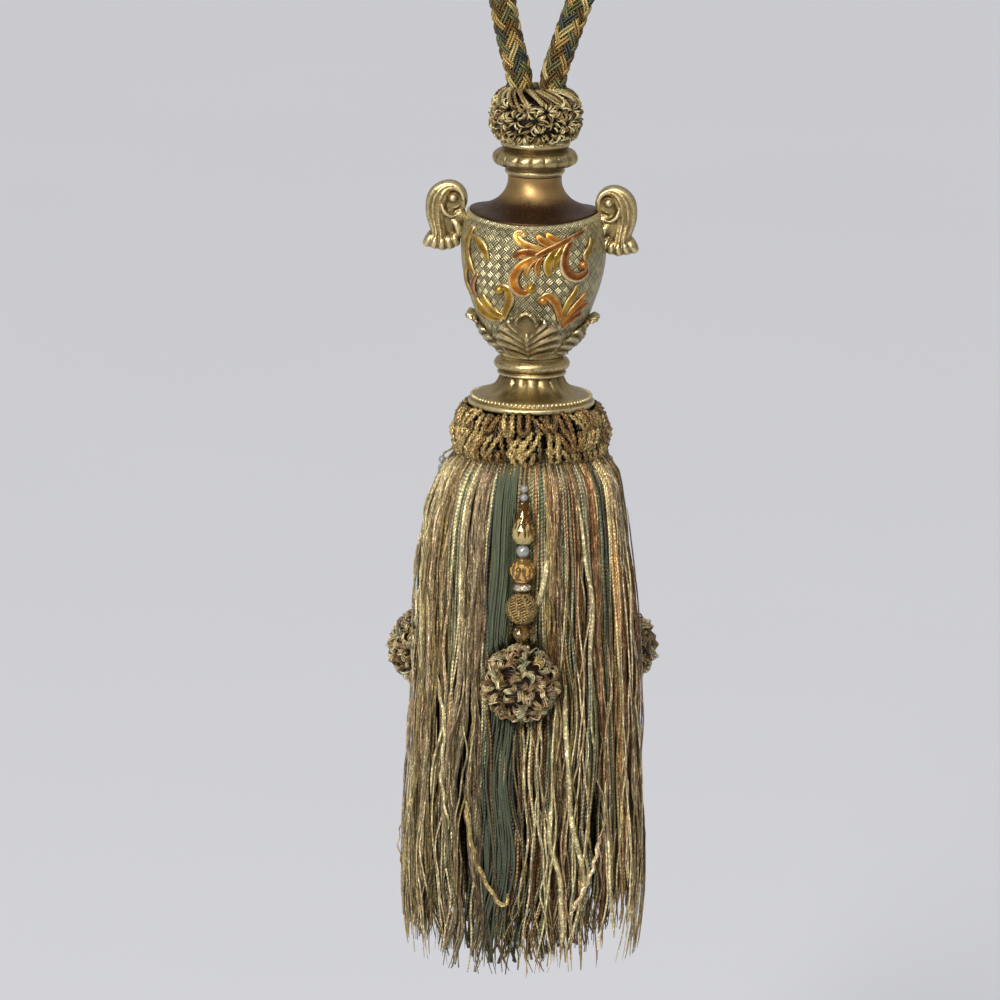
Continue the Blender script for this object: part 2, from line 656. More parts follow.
@made_once
def lacquer(name, gold, dark):
    """Clear coloured lacquer over gilding: thin and pale on the crests, deep in the hollows."""
    f = Finish(name, Metallic=0.75, Coat_Weight=0.15, Coat_Roughness=0.2)
    tint = f.attribute("tint", "Color")
    cloud = f.noise(f.place(), 240.0, 3.0, 0.6)
    speck = f.noise(f.place(), 1500.0, 2.0, 0.6)
    sunk = f.attribute("hollow")
    deep = f.mix(1.0, tint, (0.55, 0.44, 0.30), "MULTIPLY")
    tone = f.mix(f.ramp(cloud, 0.36, 0.66), deep, tint)
    loose = f.sums("ADD", sunk, f.sums("MULTIPLY_ADD", speck, 0.3, -0.15))
    tone = f.mix(f.ramp(loose, 0.42, 0.20, 0.0, 0.6), tone, gold)
    tone = f.mix(f.ramp(loose, 0.51, 0.74, 0.0, 0.95), tone, dark)
    normal = f.bump(f.sums("ADD", speck, cloud), 0.3, 0.00015)
    return f.use(Base_Color=tone, Normal=normal,
                 Roughness=f.ramp(cloud, 0.3, 0.7, 0.24, 0.42))


@made_once
def yarn(name, lay=0.0, depth=0.6, fleck=0.4, glint=0.0, grain=14.0, rough=0.5, metallic=0.0,
         sheen=0.0, knobs=0.0):
    """Yarn coloured by its own tint: twisted when lay is given, else smooth satin filament.

    Depth darkens the grooves, fleck varies the light along the yarn, and glint adds bright
    spots, grain of them to the centimetre.
    """
    f = Finish(name, Metallic=metallic, Roughness=rough, Specular_IOR_Level=0.45,
               Sheen_Weight=sheen, Sheen_Roughness=0.45)
    tint = f.attribute("tint", "Color")
    uv = f.place("UV")
    u, v, _ = f.split(uv)
    if lay:
        turn = f.sums("MULTIPLY_ADD", u, CM / lay, v)
        wave = f.sums("ABSOLUTE", f.sums("SINE", f.sums("MULTIPLY", turn, math.pi)))
    else:
        wave = f.noise(f.scaled(uv, (1.2, 9.0, 1.0)), 2.2, 3.0, 0.65)
        wave = f.ramp(wave, 0.32, 0.66)
    spark = f.noise(f.scaled(uv, (grain, 4.0, 1.0)), 1.0, 2.0, 0.6)
    patch = f.noise(f.scaled(uv, (1.6, 0.6, 1.0)), 1.0, 2.0, 0.5)
    level = f.sums("MULTIPLY_ADD", wave, depth, 1.0 - depth)
    level = f.sums("MULTIPLY", level, f.ramp(patch, 0.30, 0.68, 1.0 - fleck, 1.0 + fleck))
    level = f.sums("MULTIPLY", level, f.ramp(spark, 0.52, 0.66, 1.0, 1.0 + glint))
    grey = f.node("CombineColor", 0, {0: level, 1: level, 2: level})
    tone = f.mix(1.0, tint, grey, "MULTIPLY")
    height = wave
    if knobs:
        height = f.sums("ADD", wave, f.sums("MULTIPLY", spark, knobs))
    normal = f.bump(height, 0.9, 0.0002)
    return f.use(Base_Color=tone, Normal=normal)


@made_once
def glass(name, deep, pale, low, high):
    """Amber glass that grows paler down the bead, between two heights."""
    f = Finish(name, Roughness=0.06, IOR=1.55, Specular_IOR_Level=0.7, Coat_Weight=0.15,
               Coat_Roughness=0.03, Specular_Tint=(1.0, 0.8, 0.5, 1.0), Transmission_Weight=0.65)
    height = f.split(f.place())[2]
    streak = f.noise(f.place(scale=(1.0, 1.0, 0.3)), 800.0, 2.0, 0.5)
    share = f.sums("MULTIPLY_ADD", streak, 2.2, f.ramp(height, high, low, -1.1, -0.1))
    tone = f.mix(f.ramp(share, 0.35, 0.65), deep, pale)
    return f.use(Base_Color=tone)


@made_once
def pearl_coat(name, base):
    f = Finish(name, Metallic=0.25, Roughness=0.22, Coat_Weight=0.6, Coat_Roughness=0.08,
               Specular_IOR_Level=0.6)
    cloud = f.noise(f.place(), 900.0, 2.0, 0.5)
    tone = f.mix(f.ramp(cloud, 0.35, 0.7), base, toned(base, 1.25))
    return f.use(Base_Color=tone)


def settings(name):
    """One of the tassel's groups of settings."""
    return getattr(bpy.context.scene, "tassel_" + name)


def gilt():
    """The gilding of the urn's fittings."""
    metal = settings("metal")
    return gilding("antique gilding", tuple(metal.gilt), tuple(metal.bright), tuple(metal.hollow))


def tones(group, *names):
    """Colours from a group of settings, by their names."""
    return np.array([tuple(getattr(group, name)) for name in names])


def pick(random, palette, count):
    """Colours drawn at random from a palette."""
    return palette[random.integers(0, len(palette), count)]


# ---------------------------------------------------------------- stage

VIEW_CENTRE = (0.0, 0.0, -0.36875)      # metres, like the other lengths of the stage
VIEW_SHIFT = 0.0109                     # how far left of it the camera looks
SUN_WAY = (0.22, 1.0, -0.62)            # the way in which the main light falls
SUN_SPREAD = math.radians(14.0)
SOFT_LIGHTS = [                         # name, place, size and power
    ("soft_left", (-0.75, -1.5, 0.15), 0.35, 9.0), ("soft_top", (0.35, -1.1, 1.0), 0.5, 6.0)]
SOFT_AIM = (0.0, 0.0, -0.35)
FLOOR_SIZE = 60.0
FLOOR_HEIGHT = -0.75


class TASSEL_OT_stage(bpy.types.Operator):
    """Camera, soft light and a plain pale floor"""
    bl_idname = "tassel.stage"
    bl_label = "Stage"

    def execute(self, context):
        stage = settings("stage")
        scene = context.scene
        out = Vector((math.sin(stage.swing) * math.cos(stage.rise),
                      -math.cos(stage.swing) * math.cos(stage.rise), math.sin(stage.rise)))
        right = Vector((math.cos(stage.swing), math.sin(stage.swing), 0.0))
        target = Vector(VIEW_CENTRE) - right * VIEW_SHIFT
        camera = new_object("camera", bpy.data.cameras.new("camera"))
        camera.data.lens, camera.data.sensor_width = stage.lens, 36.0
        camera.data.clip_start, camera.data.clip_end = 0.1, 100.0
        turn = (-out).to_track_quat("-Z", "Y").to_matrix().to_4x4()
        camera.matrix_world = (Matrix.Translation(target + out * stage.distance) @ turn
                               @ Matrix.Rotation(stage.roll, 4, "Z"))
        scene.camera = camera

        sun = new_object("key", bpy.data.lights.new("key", "SUN"))
        sun.data.energy, sun.data.angle = stage.key, SUN_SPREAD
        sun.data.color = (1.0, 0.98, 0.95)
        sun.rotation_euler = Vector(SUN_WAY).to_track_quat("-Z", "Y").to_euler()
        for name, spot, size, power in SOFT_LIGHTS:
            lamp = new_object(name, bpy.data.lights.new(name, "AREA"))
            lamp.data.size, lamp.data.energy = size, power
            lamp.location = spot
            aim = Vector(SOFT_AIM) - lamp.location
            lamp.rotation_euler = aim.to_track_quat("-Z", "Y").to_euler()

        scene.world = bpy.data.worlds.new("room")
        room = Nodes(scene.world)
        _, behind, up = room.split(room.place("Generated"))
        back = room.ramp(behind, -0.5, 0.8, 0.10, 0.55, "LINEAR")
        above = room.ramp(up, 0.1, 0.9, 0.0, 0.5, "LINEAR")
        sky = room.tree.nodes["Background"]
        room.tree.links.new(room.sums("ADD", back, above), sky.inputs["Color"])
        sky.inputs["Strength"].default_value = stage.ambient
        scene.view_settings.view_transform = "Standard"

        clear_selection()
        bpy.ops.mesh.primitive_plane_add(size=FLOOR_SIZE, location=(0, 0, FLOOR_HEIGHT))
        floor = context.object
        floor.name = "floor"
        plain = Finish("floor", Roughness=0.8, Emission_Color=(*stage.floor, 1.0),
                       Emission_Strength=0.10)
        tone = plain.noise(plain.place(), 3.0, 2.0)
        base = tuple(stage.floor)
        tone = plain.mix(tone, toned(base, 0.97), base)
        floor.data.materials.append(plain.use(Base_Color=tone))
        return {"FINISHED"}


# ---------------------------------------------------------------- cord

BRAID_YARN = 0.54           # half thickness of one yarn
BRAID_PAIR = 0.165          # half the angle between the two yarns of a carrier
BRAID_LIFT = 0.45           # how far a yarn rises over the others and dives under them
BRAID_SKIN = 0.95           # how far inside the cord's outline the yarns' middles run
BRAID_CORE = 1.45           # and how far inside it the dark core's surface lies
BRAID_COLOURS = {           # for the carriers that run each way round
    1: ("gold", "pale", "slate", "sage", "gold", "brown", "sage", "brown"),
    -1: ("pale", "brown", "gold", "sage", "slate", "gold", "brown", "sage")}


class TASSEL_OT_cord(bpy.types.Operator):
    """Loop of round braid, each yarn over two and under two"""
    bl_idname = "tassel.cord"
    bl_label = "Cord loop"

    def execute(self, context):
        cord = settings("cord")
        count = cord.carriers
        lay, radius = cord.lay / MM, cord.diameter / MM / 2
        route = [(x, 0.0, height - LOOP_DROP) for x, height in CORD_ROUTE]
        length = walked(spread(route, 600))[-1]
        centre = spread(route, round(length / 1.6))
        run = np.linspace(0, length, len(centre))
        along = unit(np.gradient(centre, axis=0))
        inward = np.stack([along[:, 2], 0 * run, -along[:, 0]], axis=1)
        level = np.array([0.0, 1.0, 0.0])
        batch = Batch(11)
        crossing = 2 * count * run / lay
        yarns, outwards, colours = [], [], []
        for way, names in BRAID_COLOURS.items():
            tints = tones(cord, *names)
            for carrier in range(count):
                if way > 0:
                    lift = np.cos(TAU * (crossing + 2 * carrier - 0.5) / 4)
                else:
                    lift = -np.cos(TAU * (2 * carrier - crossing - 0.5) / 4)
                lift = np.clip(1.5 * lift, -1, 1) * BRAID_LIFT
                for beside in (-1, 1):
                    turn = TAU * (way * run / lay + carrier / count) + beside * BRAID_PAIR
                    out = inward * np.cos(turn)[:, None] + level * np.sin(turn)[:, None]
                    yarns.append(centre + out * (radius - BRAID_SKIN + lift)[:, None])
                    outwards.append(out)
                    shade = batch.random.uniform(0.8, 1.2)
                    colours.append(tints[carrier % len(tints)] * shade)
        batch.add(yarns, BRAID_YARN, np.array(colours)[:, None], BRAID_YARN, 4,
                  np.array(outwards))
        dark = tones(cord, "brown")[0] * 0.15
        batch.add(centre[None, ::3], radius - BRAID_CORE, dark, sides=10)
        finish = yarn("cord yarn", lay=0.8, depth=0.3, fleck=0.2, glint=0.5, grain=30.0,
                      rough=0.36, metallic=0.4)
        piece = dress(batch.piece("cord_braid", finish), "braid", "cord_loop")
        return {"FINISHED"}


# ---------------------------------------------------------------- ruffs

PROFILE_STEPS = 160         # points along a turned form's profile where loops are placed on it


def on_form(rows, angle, share, lift):
    """Places over a turned form: share runs down its profile and lift stands off it."""
    profile = spread(rows, PROFILE_STEPS)
    slope = np.gradient(profile, axis=0)
    normal = unit(np.stack([slope[:, 1], -slope[:, 0]], axis=1))
    at = np.clip(share, 0, 1) * (PROFILE_STEPS - 1)
    radius, depth, out, down = (np.interp(at, np.arange(PROFILE_STEPS), column)
                                for column in (*profile.T, *normal.T))
    return ring_point(angle, radius + out * lift, depth + down * lift)


TOP_CORE = [(0.0, 2.4), (8.0, 1.9), (12.6, 4.2), (14.2, 7.0), (14.7, 10.0), (14.4, 14.0),
            (12.8, 16.8), (11.0, 18.2), (0.0, 18.2)]
SKIRT_CORE = [(0.0, 118.2), (19.0, 118.4), (21.6, 119.0), (23.2, 121.4), (24.4, 126.0),
              (24.6, 131.0), (23.2, 134.4), (20.0, 135.6), (0.0, 135.6)]
RUFF_LOOP = [(-1.0, 0.0), (-1.0, 0.25), (-1.0, 0.5), (-1.0, 0.74), (-0.86, 0.92), (0.0, 1.0),
             (0.86, 0.92), (1.0, 0.74), (1.0, 0.5), (1.0, 0.25), (1.0, 0.0)]
RUFF_TIERS = [              # count, first and last top, drops, lift, bulge, steps and slant
    (30, 0.17, 0.20, (15.5, 18.0), -0.4, 0.3, 30, 0.2),
    (30, 0.13, 0.20, (5.5, 8.5), 0.2, 1.1, 19, 0.95),
    (34, 0.34, 0.46, (5.0, 7.5), 0.3, 1.2, 17, 0.95),
    (26, 0.56, 0.64, (4.5, 6.5), 0.1, 1.2, 16, 0.7)]


def profile_length(rows):
    """How long a turned form's profile is."""
    return walked(spread(rows, PROFILE_STEPS))[-1]


def form_radius(rows, share):
    """Radius of a turned form at shares of its profile."""
    profile = spread(rows, PROFILE_STEPS)
    return np.interp(share, np.linspace(0, 1, PROFILE_STEPS), profile[:, 0])


def hanging_loops(rows, angles, top, drop, gap, slant, lift, bulge, steps):
    """Long loops of rope that hang down a turned form: places, and how far each stands off."""
    template = spread(RUFF_LOOP, steps)
    down = template[None, :, 1] * np.asarray(drop)[:, None]
    across = template[None, :, 0] * gap + down * np.asarray(slant)[:, None]
    share = np.asarray(top)[:, None] + down / profile_length(rows)
    swell = np.sin(np.pi * np.clip(template[None, :, 1], 0.04, 0.94)) ** 0.6
    stand = np.asarray(lift)[:, None] + np.asarray(bulge)[:, None] * swell
    turn = angles[:, None] + across / form_radius(rows, share)
    return on_form(rows, turn, share, stand), stand


def placed_round(random, count, stray, start=0.0, full=TAU):
    """Angles evenly spaced round the axis, each off its place by up to stray."""
    return (np.arange(count) + start) * full / count + random.uniform(-stray, stray, count)


def rosettes(random, rows, angles, shares, size, petals, steps):
    """Tufts of short curls that rise round a dark hole and turn down again."""
    t = np.linspace(0, 1, steps)
    count = len(angles)
    way = (np.arange(petals) / petals * TAU)[None] + random.uniform(-0.2, 0.2, (count, petals))
    way = way[..., None] + random.uniform(-0.5, 0.9, (count, petals, 1)) * t
    reach = (0.25 + 0.75 * t) * np.asarray(size)[:, None, None] \
        * random.uniform(0.8, 1.15, (count, petals, 1))
    across, down = reach * np.cos(way), reach * np.sin(way)
    rise = random.uniform(1.2, 2.1, (count, petals, 1)) * np.sin(np.pi * (0.06 + 0.9 * t)) ** 0.8
    radius = form_radius(rows, shares)
    places = on_form(rows, angles[:, None, None] + across / radius[:, None, None],
                     shares[:, None, None] + down / profile_length(rows), rise - 0.5)
    return places.reshape(-1, steps, 3), rise.reshape(-1, steps) - 0.5


def in_shade(colours, stand, low, high, darkest=0.22):
    """Colours along each strand, darker where it lies deep between its neighbours."""
    return colours[:, None] * (darkest + (1 - darkest) * blend(low, high, stand))[..., None]


def ruff_piece(name, node, batch, finish, rows, steps, tint):
    """A ruff's loops, joined to the dark turned body that fills it between them."""
    core = turned(node + "_core", rows, steps)
    layer = core.data.attributes.new("tint", "FLOAT_COLOR", "POINT")
    full = np.tile([*tint, 1.0], (len(core.data.vertices), 1))
    layer.data.foreach_set("color", full.astype(np.float32).ravel())
    core.data.materials.append(finish)
    dress(join([batch.piece(name, finish), core], name), "ruff_yarn", node)


TOP_TIERS = [               # how far down the profile the tufts sit, and count
    (0.50, 15), (0.66, 15), (0.84, 14), (0.97, 13)]


class TASSEL_OT_top_ruff(bpy.types.Operator):
    """Ruff of looped yarn round the ends of the cord"""
    bl_idname = "tassel.top_ruff"
    bl_label = "Upper ruff"

    def execute(self, context):
        group = settings("yarn")
        batch = Batch(21)
        random = batch.random
        palette = tones(group, "gold", "straw", "gold", "straw", "bronze")

        t = np.linspace(0, 1, 15)
        count = 54
        first = placed_round(random, count, 0.03)
        slant = random.uniform(0.6, 0.85, count)
        angle = first[:, None] + slant[:, None] * t
        share = 0.02 + (0.44 + random.uniform(-0.05, 0.08, count)[:, None]) * t
        stand = 0.1 + random.uniform(0.4, 1.1, count)[:, None] * np.sin(np.pi * t) ** 0.6
        lay = plies(on_form(TOP_RUFF, angle, share, stand), 2, 0.36, 2.2)
        shade = random.uniform(0.7, 1.3, (count, 1))
        tint = pick(random, palette, count) * shade
        tint, stand = 1.15 * np.tile(tint, (2, 1)), np.tile(stand, (2, 1))
        batch.add(lay, 0.37, in_shade(tint, stand, -0.1, 0.6))

        angles, shares = [], []
        for row, (share, count) in enumerate(TOP_TIERS):
            angles.append(placed_round(random, count, 0.08, 0.5 * (row % 2)))
            shares.append(share + random.uniform(-0.03, 0.03, count))
        angles, shares = np.concatenate(angles), np.concatenate(shares)
        size = random.uniform(3.2, 4.6, len(angles))
        curls, stand = rosettes(random, TOP_RUFF, angles, shares, size, 14, 7)
        shade = random.uniform(0.65, 1.4, (len(curls), 1))
        tint = pick(random, palette, len(curls)) * shade
        batch.add(curls, 0.29, in_shade(1.65 * tint, stand, -0.1, 0.9, 0.1), sides=4)
        finish = yarn("ruff yarn", depth=0.35, fleck=0.2, glint=0.4, grain=9.0, rough=0.3,
                      metallic=0.45)
        ruff_piece("top_ruff_yarn", "top_ruff", batch, finish, TOP_CORE, 48,
                   tones(group, "brown")[0] * 0.25)
        return {"FINISHED"}


class TASSEL_OT_skirt_ruff(bpy.types.Operator):
    """Ruff of thick twisted loops between the urn and the skirt"""
    bl_idname = "tassel.skirt_ruff"
    bl_label = "Lower ruff"

    def execute(self, context):
        group = settings("yarn")
        batch = Batch(31)
        random = batch.random
        palette = tones(group, "gold", "bronze", "gold")
        for row, tier in enumerate(RUFF_TIERS):
            count, first, last, drops, lift, bulge, steps, lean = tier
            angles = placed_round(random, count, 0.06, 0.3 * row)
            slant = 0.15 + random.uniform(-lean, lean, count)
            lines, stand = hanging_loops(SKIRT_RUFF, angles, random.uniform(first, last, count),
                                         random.uniform(*drops, count), 1.5, slant,
                                         lift + random.uniform(-0.2, 0.4, count),
                                         bulge + random.uniform(0.0, 0.6, count), steps)
            ropes = plies(lines, 4, 0.80, 5.0)
            shade = random.uniform(0.8, 1.2, (count, 1))
            tint = np.tile(pick(random, palette, count) * shade, (4, 1))
            tint = tint * random.uniform(0.75, 1.55, (len(tint), 1))
            batch.add(ropes, 0.56, in_shade(tint, np.tile(stand, (4, 1)), -0.1, 1.5, 0.07),
                      sides=4)
        finish = yarn("ruff rope yarn", lay=1.7, depth=0.55, fleck=0.25, glint=0.8, grain=12.0,
                      rough=0.3, metallic=0.5)
        ruff_piece("skirt_ruff_yarn", "skirt_ruff", batch, finish, SKIRT_CORE, 64,
                   tones(group, "brown")[0] * 0.2)
        return {"FINISHED"}


# ---------------------------------------------------------------- urn

class TASSEL_OT_collar(bpy.types.Operator):
    """Ring, gadrooned torus and astragal"""
    bl_idname = "tassel.collar"
    bl_label = "Collar"

    def execute(self, context):
        piece = turned("collar_gilt", COLLAR, 180, 3)

        def gadroons(angle, radius, depth):
            span = blend(22.6, 24.0, depth) * (1.0 - blend(27.9, 28.9, depth))
            ridge = np.abs(np.cos(9 * angle)) ** 0.5
            return 0.55 * span * (ridge - 0.72), 0.0 * angle

        shape(piece, gadroons)
        mark_hollows(piece, 1.2, 1.1)
        smooth_by_angle(piece, 50)
        piece.data.materials.append(gilt())
        dress(piece, "gilt", "collar")
        return {"FINISHED"}


class TASSEL_OT_shoulder(bpy.types.Operator):
    """Plain bronze neck and shoulder"""
    bl_idname = "tassel.shoulder"
    bl_label = "Shoulder"

    def execute(self, context):
        metal = settings("metal")
        piece = turned("shoulder_bronze", SHOULDER, 96)
        sink_rim(piece)
        mark_hollows(piece, 1.5, 0.5)
        smooth_by_angle(piece, 50)
        f = Finish("patinated bronze", Metallic=0.8, Specular_IOR_Level=0.5)
        height = f.split(f.place())[2]
        cloud = f.noise(f.place(), 130.0, 3.0, 0.6)
        speck = f.noise(f.place(), 1700.0, 2.0, 0.6)
        low = f.sums("MULTIPLY_ADD", cloud, 0.003, f.sums("ADD", height, -0.0015))
        tone = f.mix(f.ramp(low, -0.2575, -0.2525), tuple(metal.umber), tuple(metal.bronze))
        tone = f.mix(f.ramp(speck, 0.60, 0.72, 0.0, 0.4), tone, tuple(metal.umber))
        tone = f.mix(f.ramp(speck, 0.42, 0.30, 0.0, 0.35), tone, tuple(metal.gilt))
        normal = f.bump(f.sums("ADD", speck, cloud), 0.22, 0.0001)
        piece.data.materials.append(f.use(Base_Color=tone, Normal=normal,
                                          Roughness=f.ramp(cloud, 0.3, 0.7, 0.40, 0.52)))
        dress(piece, "shoulder_bronze", "shoulder")
        return {"FINISHED"}


def bowl_radius(depth):
    """Radius of the bowl at this depth."""
    rows = np.array(BOWL[1:-1])
    return np.interp(depth, rows[:, 1], rows[:, 0])


def on_bowl(across, depth, lift, facing):
    """Places over the bowl, from how far to the right and how deep they look from that side."""
    radius = bowl_radius(depth)
    angle = facing + np.arcsin(np.clip(np.asarray(across) / radius, -0.999, 0.999))
    down = rim_dip(angle, radius, np.asarray(depth, float))
    return ring_point(angle, radius + lift, np.asarray(depth) + down)


# Strokes of the acanthus scrolls: colour, greatest half width, height, and points to the right
# and down, as seen from in front. A stroke is thickest two thirds of the way along.
SCROLLS = [
    ("copper", 1.3, 1.3, [(19.6, 48.2), (14.0, 51.2), (8.4, 54.0), (2.6, 56.8), (-2.6, 60.0)]),
    ("orange", 1.9, 1.5, [(1.6, 57.8), (-3.4, 60.4), (-6.2, 63.6), (-7.2, 67.2), (-5.8, 70.6),
                          (-2.8, 71.8), (-0.8, 70.2)]),
    ("peach", 1.7, 1.5, [(4.6, 55.6), (0.4, 54.8), (-4.0, 53.4), (-6.4, 50.8), (-5.4, 48.6),
                         (-3.8, 49.2)]),
    ("copper", 2.0, 1.5, [(2.4, 57.2), (-1.0, 56.6), (-4.6, 57.0), (-7.4, 58.2)]),
    ("orange", 1.5, 1.4, [(8.6, 54.0), (5.4, 53.4), (2.4, 51.8), (0.8, 49.4)]),
    ("orange", 1.4, 1.3, [(11.0, 52.6), (8.2, 52.2), (5.8, 50.9), (4.2, 48.8)]),
    ("peach", 1.1, 1.2, [(0.8, 59.0), (-1.2, 60.6), (-2.6, 63.0), (-2.8, 65.4)]),
    ("orange", 1.1, 1.2, [(3.4, 58.2), (1.8, 60.0), (1.2, 62.4), (1.6, 64.8)]),
    ("yellow", 1.8, 1.4, [(8.2, 55.2), (6.4, 57.6), (5.0, 60.8), (5.6, 65.4)]),
    ("yellow", 1.4, 1.3, [(10.6, 54.0), (9.4, 56.4), (7.8, 59.4), (7.4, 62.6)]),
    ("copper", 1.9, 1.5, [(14.4, 51.8), (11.8, 55.2), (10.8, 60.0), (12.2, 64.6), (15.8, 66.4),
                          (19.0, 64.6), (18.8, 61.8)]),
    ("yellow", 1.5, 1.3, [(20.6, 52.4), (20.2, 55.6), (18.8, 58.4), (18.6, 61.0)]),
    ("orange", 1.7, 1.4, [(9.6, 83.0), (9.2, 79.0), (7.8, 75.2), (5.2, 72.8), (2.8, 73.6)]),
    ("yellow", 1.3, 1.2, [(9.8, 84.6), (10.6, 80.4), (12.6, 76.0), (15.0, 72.2), (16.0, 69.2)]),
    ("copper", 1.9, 1.4, [(10.2, 85.2), (12.6, 82.8), (15.2, 81.0), (17.6, 80.8)]),
    ("orange", 1.2, 1.2, [(10.0, 84.2), (13.0, 80.2), (16.4, 76.2), (19.2, 72.8)]),
    ("copper", 1.5, 1.3, [(11.4, 82.8), (14.4, 79.8), (17.4, 77.8), (19.8, 77.0)]),
    ("yellow", 1.8, 1.4, [(-10.4, 82.2), (-9.4, 78.4), (-8.4, 74.4), (-9.4, 70.6), (-12.0, 69.6)]),
    ("yellow", 1.8, 1.4, [(-9.8, 81.8), (-13.4, 80.6), (-16.6, 77.4), (-18.6, 73.6)]),
    ("yellow", 1.9, 1.3, [(-10.8, 82.6), (-14.8, 82.2), (-18.6, 79.6), (-21.0, 75.4)]),
    ("copper", 1.3, 1.2, [(-14.0, 83.0), (-17.4, 82.4), (-19.6, 80.4)]),
    ("yellow", 1.9, 1.4, [(-16.6, 60.4), (-17.6, 57.0), (-19.8, 54.2), (-22.6, 53.0)]),
    ("yellow", 1.9, 1.4, [(-21.8, 49.0), (-23.0, 52.4), (-23.8, 56.4), (-23.6, 60.8),
                          (-22.4, 64.6), (-21.0, 67.4)]),
    ("yellow", 1.6, 1.3, [(-22.6, 61.6), (-24.2, 66.0), (-23.8, 70.8), (-22.2, 75.0)]),
    ("copper", 1.4, 1.2, [(-20.2, 66.2), (-21.4, 69.6), (-21.4, 73.0), (-20.4, 75.4)]),
]
BUTTONS = [                 # colour, half width, and place of the buttons in the volutes' eyes
    ("yellow", 2.0, (-0.9, 69.9)), ("bright", 1.5, (-3.6, 49.6)), ("orange", 1.9, (3.5, 74.6)),
    ("yellow", 2.1, (-12.3, 71.2)), ("copper", 1.7, (17.9, 62.0))]


